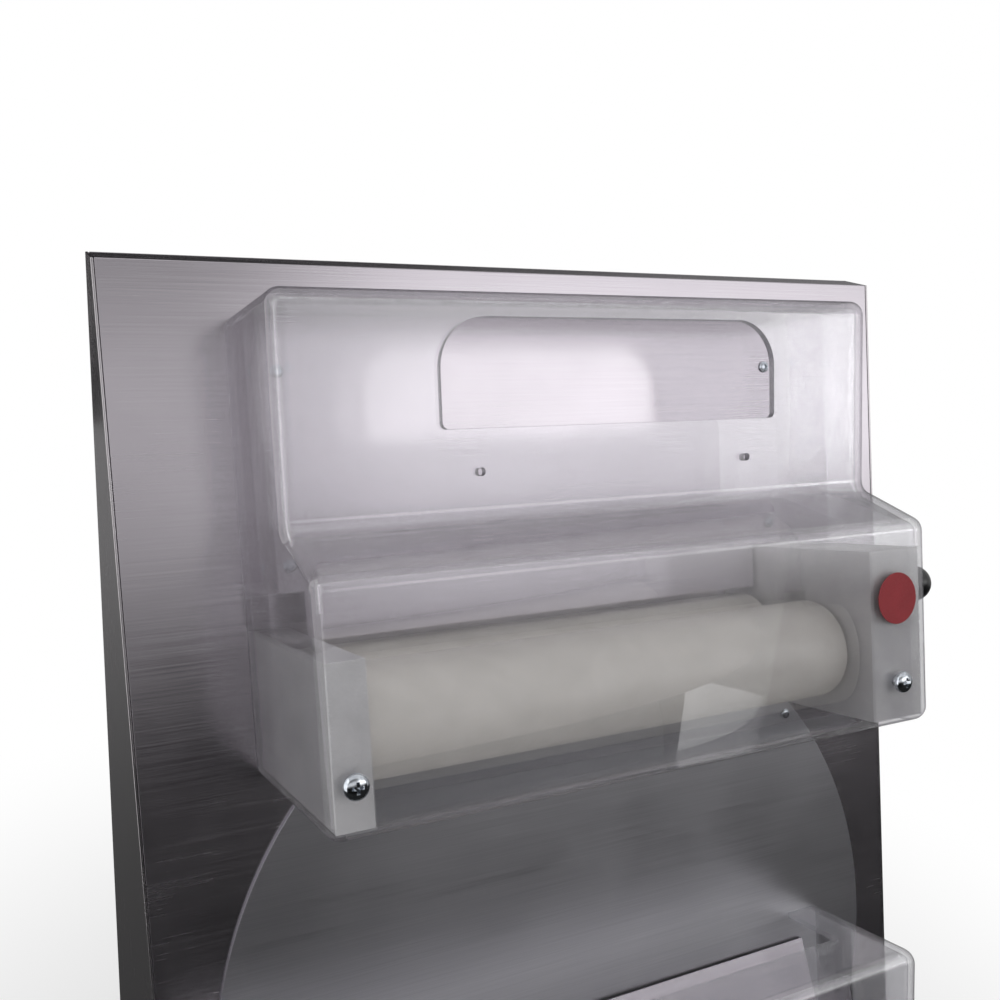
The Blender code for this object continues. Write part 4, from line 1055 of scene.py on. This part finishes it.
            tools.append(bored("vent", self.vent_radius, start, end, 24))
        combined(hood, tools, solver=Solver.MANIFOLD)
        hood = shaded(hood, 30.0)
        self.mark_cut_face_shade(hood)
        finished(hood, HOOD_CLEAR, "cabinet", (self.node("hood"),))

    def mark_cut_face_shade(self, hood: Piece) -> None:
        """Marks the faces that a saw or drill left in the front wall, to be given a darker see-through colour
        as painted shade.
        """
        inward = PANEL.matrix().inverted()
        turn = inward.to_3x3()
        edge = 2 * self.edge_radius
        lowest, highest = self.top - self.step_drop + edge, self.top - 1.4 * self.corner_radius
        # The faces marked here are painted darker in the hood's material: painted shade at the cut
        layer = hood.data.attributes.new("cut_face_shade", "FLOAT", "FACE")
        for item, face in zip(layer.data, hood.data.polygons):
            place, way = inward @ face.center, turn @ face.normal
            inside = self.hood_left + edge < place.x < self.hood_right - edge
            front = -place.y > self.step_n - 1.5 * self.wall
            cut_face_shade = inside and front and lowest < place.z < highest and abs(way.y) < 0.3
            item.value = 1.0 if cut_face_shade else 0.0

    def mouth(self) -> Piece:
        """What is cut from the hood to feed it: a hand opening, or a slot in the lower hood's top."""
        if self.ramp:
            return slab(
                "mouth",
                (self.hood_left + self.slot_inset, self.hood_right - self.slot_inset),
                (-2 * self.overrun, self.slot_n),
                (self.top - self.wall - self.overrun, self.top + self.overrun),
            )
        left, right = (self.hood_left + x for x in self.mouth_x)
        high, low = (self.top - drop for drop in self.mouth_drops)
        above, below = self.mouth_radii
        corners = [(left, high), (right, high), (right, low), (left, low)]
        outline = rounded(corners, [above, above, below, below], 16)
        depths = (self.step_n - self.wall - self.overrun, self.top_n + self.overrun)
        return prism("mouth", outline, depths, Plane.FACE)

    def screw_places(self) -> list[Point2]:
        """Where the two hood screws stand, as x and u."""
        u = self.top - self.screw_drop
        return [(self.hood_left + self.screw_insets[0], u), (self.hood_right - self.screw_insets[1], u)]

    def build_rollers(self) -> None:
        """The two sleeves, turned with eased ends, each on its own body."""
        rear_n = self.front_roller_n - 2 * self.roller_radius - self.roller_gap
        half = self.space / 2 - self.roller_end_gap
        inner = self.shaft_radius + self.seat
        profile = sleeve(inner, self.roller_radius, (-half, half), self.roller_edge, 6)
        for part, n in (("front", self.front_roller_n), ("rear", rear_n)):
            middle = PANEL.point((self.rollers_left + self.rollers_right) / 2, n, self.axis_u)
            roller = shaded(turned(f"{self.name}_{part}_sleeve", profile, middle, RIGHTWARDS, 128))
            body, node = f"{self.name}_{part}_spindle", self.node(f"{part}_roller")
            finished(roller, ROLLER_POLYMER, body, (node,))

    def build_screws(self) -> None:
        """The two screws of the hood, and the small ones that hold the chute."""
        places = [(PANEL.point(x, self.front_n, u), PANEL.out()) for x, u in self.screw_places()]
        nodes = (self.node("hood_screw_left"), self.node("hood_screw_right"))
        finished(screwed(f"{self.name}_hood_screws", HOOD_SCREW, places), PLATED_STEEL, "cabinet", nodes)
        if self.ramp:
            return
        small = []
        for x in (self.hood_left + self.chute_screw_insets[0], self.hood_right - self.chute_screw_insets[1]):
            for drop in self.chute_screw_drops:
                small.append((PANEL.point(x, self.chute_n, self.top - drop), PANEL.out()))
        finished(screwed(f"{self.name}_chute_screws", CHUTE_SCREW, small), PLATED_STEEL, "cabinet")

    def build_lever(self) -> None:
        """The gap lever's hub, arm and ball knob."""
        hub_left = self.hood_right + self.hub_gap
        middle_x = hub_left + self.hub_width / 2
        body = f"{self.name}_gap_handle"
        profile = sleeve(self.hub_bore, self.hub_radius, (0.0, self.hub_width), self.hub_edge, 4)
        origin = PANEL.point(hub_left, self.gap_n, self.axis_u)
        hub = turned(f"{self.name}_lever_hub", profile, origin, RIGHTWARDS, 72)
        out_n, out_u = self.knob_out
        across = Vector(self.knob_out).normalized() * (self.hub_radius - self.arm_sunk)
        start = PANEL.point(middle_x, self.gap_n + across.x, self.axis_u + across.y)
        knob = PANEL.point(middle_x + self.knob_out_x, self.gap_n + out_n, self.axis_u + out_u)
        combined(hub, [bored("arm", self.arm_radius, start, knob)], "UNION")
        finished(shaded(hub), PLATED_STEEL, body, (self.node("gap_lever"),))
        ball, flat, bore = self.knob_radius, self.knob_flat, self.knob_bore
        turn = math.acos(flat / ball)
        foot = -ball * math.sin(turn)
        profile = arc((0.0, 0.0), ball, math.pi / 2, -turn, 28)
        profile[0] = (0.0, ball)
        profile += [(flat, foot), (bore, foot), (bore, CLEAR), (0.0, CLEAR)]
        sphere = turned(f"{self.name}_ball_knob", profile, knob, (knob - start).normalized(), 64)
        finished(shaded(sphere), BLACK_PLASTIC, body, (self.node("gap_knob"),))


@dataclass
class Cabinet:
    """The sheet-metal body with its feet, slide plate, controls and screws."""

    slide_radius: float = 240 * MM
    slide_centre_u: float = -455 * MM
    slide_half_height: float = 163 * MM
    slide_corner: float = 12 * MM
    slide_n: Span = (0.3 * MM, 2.3 * MM)
    slide_screw: Point2 = (176 * MM, -304 * MM)
    disc_radius: float = 15 * MM
    disc_thick: float = 0.25 * MM
    disc_place: Point2 = (415 * MM - PANEL_HALF, -207 * MM)
    disc_n: float = 130.05 * MM
    foot_slim: float = 16 * MM
    cap_edge: float = 1.2 * MM
    gland_out: float = 16 * MM
    screw_inset: float = 14 * MM

    def build(self, nodes: Nodes) -> None:
        """Builds and dresses every piece of the cabinet."""
        for node, finish, width in (
            ("front_panel", PANEL_STEEL, 0.5 * MM),
            ("rear_cover", PANEL_STEEL, 0.4 * MM),
            ("receiving_shelf", PANEL_STEEL, 0.5 * MM),
            ("base_tray", PANEL_STEEL, 0.5 * MM),
            ("side_left", SIDE_STEEL, 0.4 * MM),
            ("side_right", SIDE_STEEL, 0.4 * MM),
            ("switch_plate", BLACK_PLASTIC, 0.5 * MM),
        ):
            finished(shaded(eased(copied(nodes, node), width)), finish, "cabinet", (node,))
        self.build_slide_plate()
        self.build_feet()
        self.build_buttons()
        self.build_gland()
        self.build_screws()
        self.build_disc()

    def build_slide_plate(self) -> None:
        """The round plate with its top and bottom cut straight."""
        half = math.asin(self.slide_half_height / self.slide_radius)
        centre = (0.0, self.slide_centre_u)
        # More steps would make them shorter than the corner's rounding takes, and fold the outline
        steps = 60
        right = arc(centre, self.slide_radius, half, -half, steps)
        left = arc(centre, self.slide_radius, math.pi + half, math.pi - half, steps)
        radii = [self.slide_corner] + [0.0] * (steps - 1) + [self.slide_corner]
        plate = prism("slide_disc", rounded(right + left, radii + radii, 6), self.slide_n, Plane.FACE)
        finished(shaded(eased(plate, 0.5 * MM)), SLIDE_STEEL, "cabinet", ("slide_plate",))

    def build_feet(self) -> None:
        """Four rubber feet that taper down, with a rounded rim and a groove."""
        for name in ("front_left", "front_right", "rear_left", "rear_right"):
            low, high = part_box(f"foot_{name}")
            middle = (low + high) / 2
            top, wide, slim = high.z, (high.x - low.x) / 2, self.foot_slim
            profile = [(0.0, top)]
            # The rim and the groove under it, as how far in and how far down they lie, in millimetres
            for inset, drop in ((0.6, 0), (0, 0.8), (0.2, 3), (1.2, 3.6), (1.2, 5), (0.9, 5.6)):
                profile.append((wide - inset * MM, top - drop * MM))
            profile += [(slim + 0.3 * MM, 1.6 * MM), (slim - 0.2 * MM, 0.5 * MM), (slim - 1.2 * MM, 0.0)]
            profile.append((0.0, 0.0))
            foot = turned(f"rubber_foot_{name}", profile, Vector((middle.x, middle.y, 0.0)), UPWARDS, 72)
            finished(shaded(foot), FOOT_RUBBER, "cabinet", (f"foot_{name}",))

    def build_buttons(self) -> None:
        """The start and stop buttons, slightly dished, each on its plunger."""
        for name, finish in (("start", START_GREEN), ("stop", STOP_RED)):
            low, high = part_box(f"{name}_button")
            middle = (low + high) / 2
            radius, length = (high.z - low.z) / 2, high.x - low.x
            rim = arc((radius - self.cap_edge, length - self.cap_edge), self.cap_edge, math.pi / 2, 0.0, 6)
            profile = [(0.0, 0.0), (radius, 0.0), *reversed(rim), (radius - 3 * MM, length - 0.4 * MM)]
            profile += [(radius / 3, length - 0.7 * MM), (0.0, length - 0.75 * MM)]
            origin = Vector((low.x, middle.y, middle.z))
            button = turned(f"{name}_push_cap", profile, origin, RIGHTWARDS, 72)
            finished(shaded(button), finish, f"{name}_plunger", (f"{name}_button",))

    def build_gland(self) -> None:
        """The cable gland on the rear cover, with a domed nut."""
        low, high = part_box("cable_gland")
        middle = (low + high) / 2
        radius = (high.x - low.x) / 2
        # Radius and height in millimetres, where no radius means the nut's own
        shape = ((4, 16), (6.5, 16), (8.6, 14.8), (9.3, 12), (10.6, 11.6), (None, 10.6), (None, 4.8))
        profile = [(radius if wide is None else wide * MM, height * MM) for wide, height in shape]
        profile += [(radius - 1 * MM, 4.2 * MM), (radius, 3.6 * MM), (radius, CLEAR)]
        profile += [(9 * MM, CLEAR), (9 * MM, -10 * MM), (4 * MM, -10 * MM)]
        origin = Vector((middle.x, high.y - self.gland_out, middle.z))
        gland = turned("gland_nut", profile, origin, BACKWARDS, 72)
        finished(shaded(gland), BLACK_PLASTIC, "cabinet", ("cable_gland",))

    def build_screws(self) -> None:
        """Small screws round the rear cover, and two at the slide plate's upper corners."""
        low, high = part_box("rear_cover")
        left, right = low.x + self.screw_inset, high.x - self.screw_inset
        ends = (low.z + self.screw_inset, high.z - self.screw_inset)
        spots = [(x, z) for x in (left, (low.x + high.x) / 2, right) for z in ends]
        spots += [(x, low.z + (high.z - low.z) * share) for x in (left, right) for share in (1 / 3, 2 / 3)]
        places = [(Vector((x, high.y, z)), BACKWARDS) for x, z in spots]
        finished(screwed("cover_screws", COVER_SCREW, places), PLATED_STEEL, "cabinet")
        x, u = self.slide_screw
        corners = [(PANEL.point(side * x, self.slide_n[1], u), PANEL.out()) for side in (-1, 1)]
        finished(screwed("slide_plate_screws", CHUTE_SCREW, corners), PLATED_STEEL, "cabinet")

    def build_disc(self) -> None:
        """The plain red disc on the upper hood's front, over the gear case."""
        radius, thick = self.disc_radius, self.disc_thick
        profile = [(0.0, 0.0), (radius, 0.0), (radius, thick * 0.6), (radius - 0.1 * MM, thick), (0.0, thick)]
        place = PANEL.point(self.disc_place[0], self.disc_n, self.disc_place[1])
        finished(shaded(turned("red_disc", profile, place, PANEL.out(), 96)), DISC_VINYL, "cabinet")


def smooth_step(low: float, high: float, value: float) -> float:
    """A smooth step from 0 at low to 1 at high."""
    share = min(max((value - low) / (high - low), 0.0), 1.0)
    return share * share * (3 - 2 * share)


def front_glow(place: Vector) -> float:
    """The card in front: dark near the table, grey above, with a soft bright field at the right."""
    x, z = place.x, place.z
    dark = 0.005 + 0.03 * smooth_step(0.2, 1.5, x) - 0.02 * smooth_step(1.8, 2.6, x)
    grey = dark + (0.92 - dark) * smooth_step(0.95, 1.6, z)
    grey -= 0.65 * smooth_step(1.85, 2.4, z) * (1 - smooth_step(0.5, 1.4, x))
    across = smooth_step(0.3, 1.0, x) * (1 - smooth_step(3.3, 3.9, x))
    upwards = smooth_step(1.0, 1.4, z) * (1 - smooth_step(2.0, 2.5, z))
    return grey + 1.25 * across * upwards


def back_glow(place: Vector) -> float:
    """The wall behind, which the flat top strip mirrors at a slant, dark at its left."""
    return 0.01 + 0.18 * smooth_step(0.2, 2.8, place.x)


def back_floor_glow(place: Vector) -> float:
    """The floor behind, which the cabinet's left side mirrors darker towards its foot."""
    far = smooth_step(0.3, 1.8, place.y)
    return (0.05 + 0.15 * far) * (1 + 1.5 * smooth_step(0.55, 1.1, place.x))


def even(glow: float) -> Glow:
    """The same glow everywhere."""
    return lambda place: glow


@dataclass(frozen=True)
class PhotoCamera:
    """The camera of the photograph, fitted to the machine's corners."""

    sensor: float = 36.0
    lens: float = 36.284
    shift: Point2 = (0.048158, 0.053791)
    place: tuple[float, float, float] = (-0.33555, -0.38635, 0.86271)
    right: tuple[float, float, float] = (0.90428, -0.41736, 0.08997)
    up: tuple[float, float, float] = (0.08458, 0.38167, 0.92042)

    def build(self) -> None:
        """Sets up the camera and looks through it."""
        data = bpy.data.cameras.new("camera")
        data.sensor_width = self.sensor
        data.lens = self.lens
        data.shift_x, data.shift_y = self.shift
        data.clip_start = 10 * MM
        camera = bpy.data.objects.new("camera", data)
        right, up = Vector(self.right), Vector(self.up)
        turn = Matrix((right, up, right.cross(up))).transposed().to_4x4()
        camera.matrix_world = Matrix.Translation(self.place) @ turn
        bpy.context.scene.collection.objects.link(camera)
        bpy.context.scene.camera = camera


@dataclass
class Studio:
    """The pale floor, the soft lamps, and the room of cards that the metal mirrors."""

    ambient: float = 0.50
    floor_half: float = 4.0
    white_from: Span = (0.40, 1.0)
    room_x: Span = (-2.2, 4.4)
    room_y: Span = (-2.2, 2.6)
    room_z: Span = (0.003, 3.6)
    under_half: Point2 = (0.28, 0.215)

    def build(self) -> None:
        """Builds the whole studio."""
        self.build_world()
        self.build_floor()
        self.build_cards()
        self.build_lamps()
        PhotoCamera().build()

    def seen(self, tree: Tree) -> Socket:
        """1 for what the camera, mirrors and glass see, and 0 for the light that falls on things."""
        path = add(tree, "ShaderNodeLightPath").outputs
        first = maths(tree, "MAXIMUM", path["Is Camera Ray"], path["Is Glossy Ray"])
        return maths(tree, "MAXIMUM", first, path["Is Transmission Ray"])

    def build_world(self) -> None:
        """White where it is seen, and an even soft light where it shines."""
        world = bpy.data.worlds.new("studio")
        tree = emptied(world)
        white, light = (
            add(tree, "ShaderNodeBackground", {"Color": WHITE, "Strength": strength}).outputs[0]
            for strength in (1.0, self.ambient)
        )
        add(tree, "ShaderNodeOutputWorld", {"Surface": blended(tree, self.seen(tree), light, white)})
        bpy.context.scene.world = world

    def build_floor(self) -> None:
        """A pale floor that keeps the machine's shadow near it and runs out to white."""
        material = bpy.data.materials.new("pale_floor")
        tree = emptied(material)
        matte = add(tree, "ShaderNodeBsdfDiffuse", {"Color": linear("f7f7f7")}).outputs[0]
        white = add(tree, "ShaderNodeEmission", {"Color": WHITE, "Strength": 1.0}).outputs[0]
        place = add(tree, "ShaderNodeTexCoord").outputs["Object"]
        away = add(tree, "ShaderNodeVectorMath", {0: place}, operation="LENGTH").outputs["Value"]
        near, far = self.white_from
        inputs = {"Value": away, "From Min": near, "From Max": far, "To Min": 0.55, "To Max": 1.0}
        share = add(tree, "ShaderNodeMapRange", inputs, interpolation_type="SMOOTHSTEP").outputs[0]
        share = maths(tree, "MULTIPLY", share, self.seen(tree))
        add(tree, "ShaderNodeOutputMaterial", {"Surface": blended(tree, share, matte, white)})
        half = self.floor_half
        corners = [(-half, -half, 0), (half, -half, 0), (half, half, 0), (-half, half, 0)]
        mesh = bpy.data.meshes.new("floor")
        mesh.from_pydata(corners, [], [(0, 1, 2, 3)])
        mesh.materials.append(material)
        linked("floor", mesh)

    def glow_material(self) -> bpy.types.Material:
        """A glow whose strength is written on the card's own points."""
        found = bpy.data.materials.get("card_glow")
        if found is not None:
            return found
        material = bpy.data.materials.new("card_glow")
        tree = emptied(material)
        glow = add(tree, "ShaderNodeAttribute", attribute_name="glow").outputs["Fac"]
        light = add(tree, "ShaderNodeEmission", {"Color": WHITE, "Strength": glow}).outputs[0]
        add(tree, "ShaderNodeOutputMaterial", {"Surface": light})
        return material

    def card(self, name: str, corners: list[Vector], glow: Glow, cells: int = 32) -> None:
        """A card that only shiny surfaces see, with its own glow at each point.

        Args:
            name: The card's name.
            corners: Its four corners in order.
            glow: How bright it is at a place, where 1 is white.
            cells: How many cells it has each way.
        """
        points = []
        for row in range(cells + 1):
            start = corners[0].lerp(corners[3], row / cells)
            end = corners[1].lerp(corners[2], row / cells)
            points += [start.lerp(end, column / cells) for column in range(cells + 1)]
        faces = []
        for row in range(cells):
            for column in range(cells):
                here = row * (cells + 1) + column
                faces.append((here, here + 1, here + cells + 2, here + cells + 1))
        mesh = bpy.data.meshes.new(name)
        mesh.from_pydata(points, [], faces)
        layer = mesh.attributes.new("glow", "FLOAT", "POINT")
        for item, point in zip(layer.data, points):
            item.value = glow(point)
        mesh.materials.append(self.glow_material())
        obj = linked(name, mesh)
        obj.visible_camera = False
        obj.visible_diffuse = False
        obj.visible_transmission = False
        obj.visible_shadow = False

    def build_cards(self) -> None:
        """A room of cards for the steel to mirror, open only under the machine, brightest in front."""
        (west, east), (south, north), (low, high) = self.room_x, self.room_y, self.room_z
        half_x, half_y = self.under_half

        def upright(x1: float, y1: float, x2: float, y2: float) -> list[Vector]:
            return [Vector(place) for place in ((x1, y1, low), (x2, y2, low), (x2, y2, high), (x1, y1, high))]

        def flat(x1: float, x2: float, y1: float, y2: float, z: float) -> list[Vector]:
            return [Vector(place) for place in ((x1, y1, z), (x2, y1, z), (x2, y2, z), (x1, y2, z))]

        self.card("front_card", upright(west, south, east, south), front_glow, 96)
        self.card("left_card", upright(west, north, west, south), even(1.5))
        self.card("right_card", upright(east, south, east, north), even(0.50))
        self.card("back_card", upright(east, north, west, north), back_glow, 48)
        self.card("ceiling_card", flat(west, east, south, north, high), even(0.80))
        self.card("front_floor_card", flat(west, east, south, -half_y, low), even(0.02))
        self.card("back_floor_card", flat(west, east, half_y, north, low), back_floor_glow, 64)
        self.card("left_floor_card", flat(west, -half_x, -half_y, half_y, low), even(0.10))
        self.card("right_floor_card", flat(half_x, east, -half_y, half_y, low), even(0.10))

    def lamp(self, name: str, place: Vector, aim: Vector, size: Span, power: float) -> None:
        """A soft lamp that lights things but isn't mirrored in them."""
        data = bpy.data.lights.new(name, "AREA")
        data.shape = "RECTANGLE"
        data.size, data.size_y = size
        data.energy = power
        obj = bpy.data.objects.new(name, data)
        obj.location = place
        obj.rotation_euler = (aim - place).to_track_quat("-Z", "Y").to_euler()
        obj.visible_glossy = False
        obj.visible_transmission = False
        bpy.context.scene.collection.objects.link(obj)

    def build_lamps(self) -> None:
        """A large lamp at the right in front, and a weaker one from above at the left."""
        aim = Vector((0.0, 0.0, 0.6))
        self.lamp("key", Vector((1.15, -1.35, 1.35)), aim, (1.1, 1.1), 8.0)
        self.lamp("top", Vector((-0.5, -0.3, 2.1)), aim, (1.4, 1.0), 7.0)


def dress_nodes(frame: dict[str, Any]) -> None:
    """Gives every CAD node the finish of its slot, so that those that stay are dressed too."""
    for part in frame["record"]["subparts"]:
        obj = frame["nodes"][part["node"]]
        obj.data.materials.clear()
        obj.data.materials.append(BY_SLOT[part["material_slot"]].material())


def main() -> None:
    """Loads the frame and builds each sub-assembly."""
    logging.basicConfig(level=logging.INFO, format="%(message)s")
    bpy.ops.wm.read_factory_settings(use_empty=True)
    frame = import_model()
    bpy.context.scene.view_settings.view_transform = "Standard"
    dress_nodes(frame)
    nodes = frame["nodes"]
    Cabinet().build(nodes)
    RollerHead("upper", 65.5 * MM, -28.5 * MM, 309.5 * MM, 0.3 * MM, False).build(nodes)
    RollerHead("lower", 16 * MM, -450 * MM, 390 * MM, 2.6 * MM, True).build(nodes)
    Studio().build()


if __name__ == "__main__":
    main()
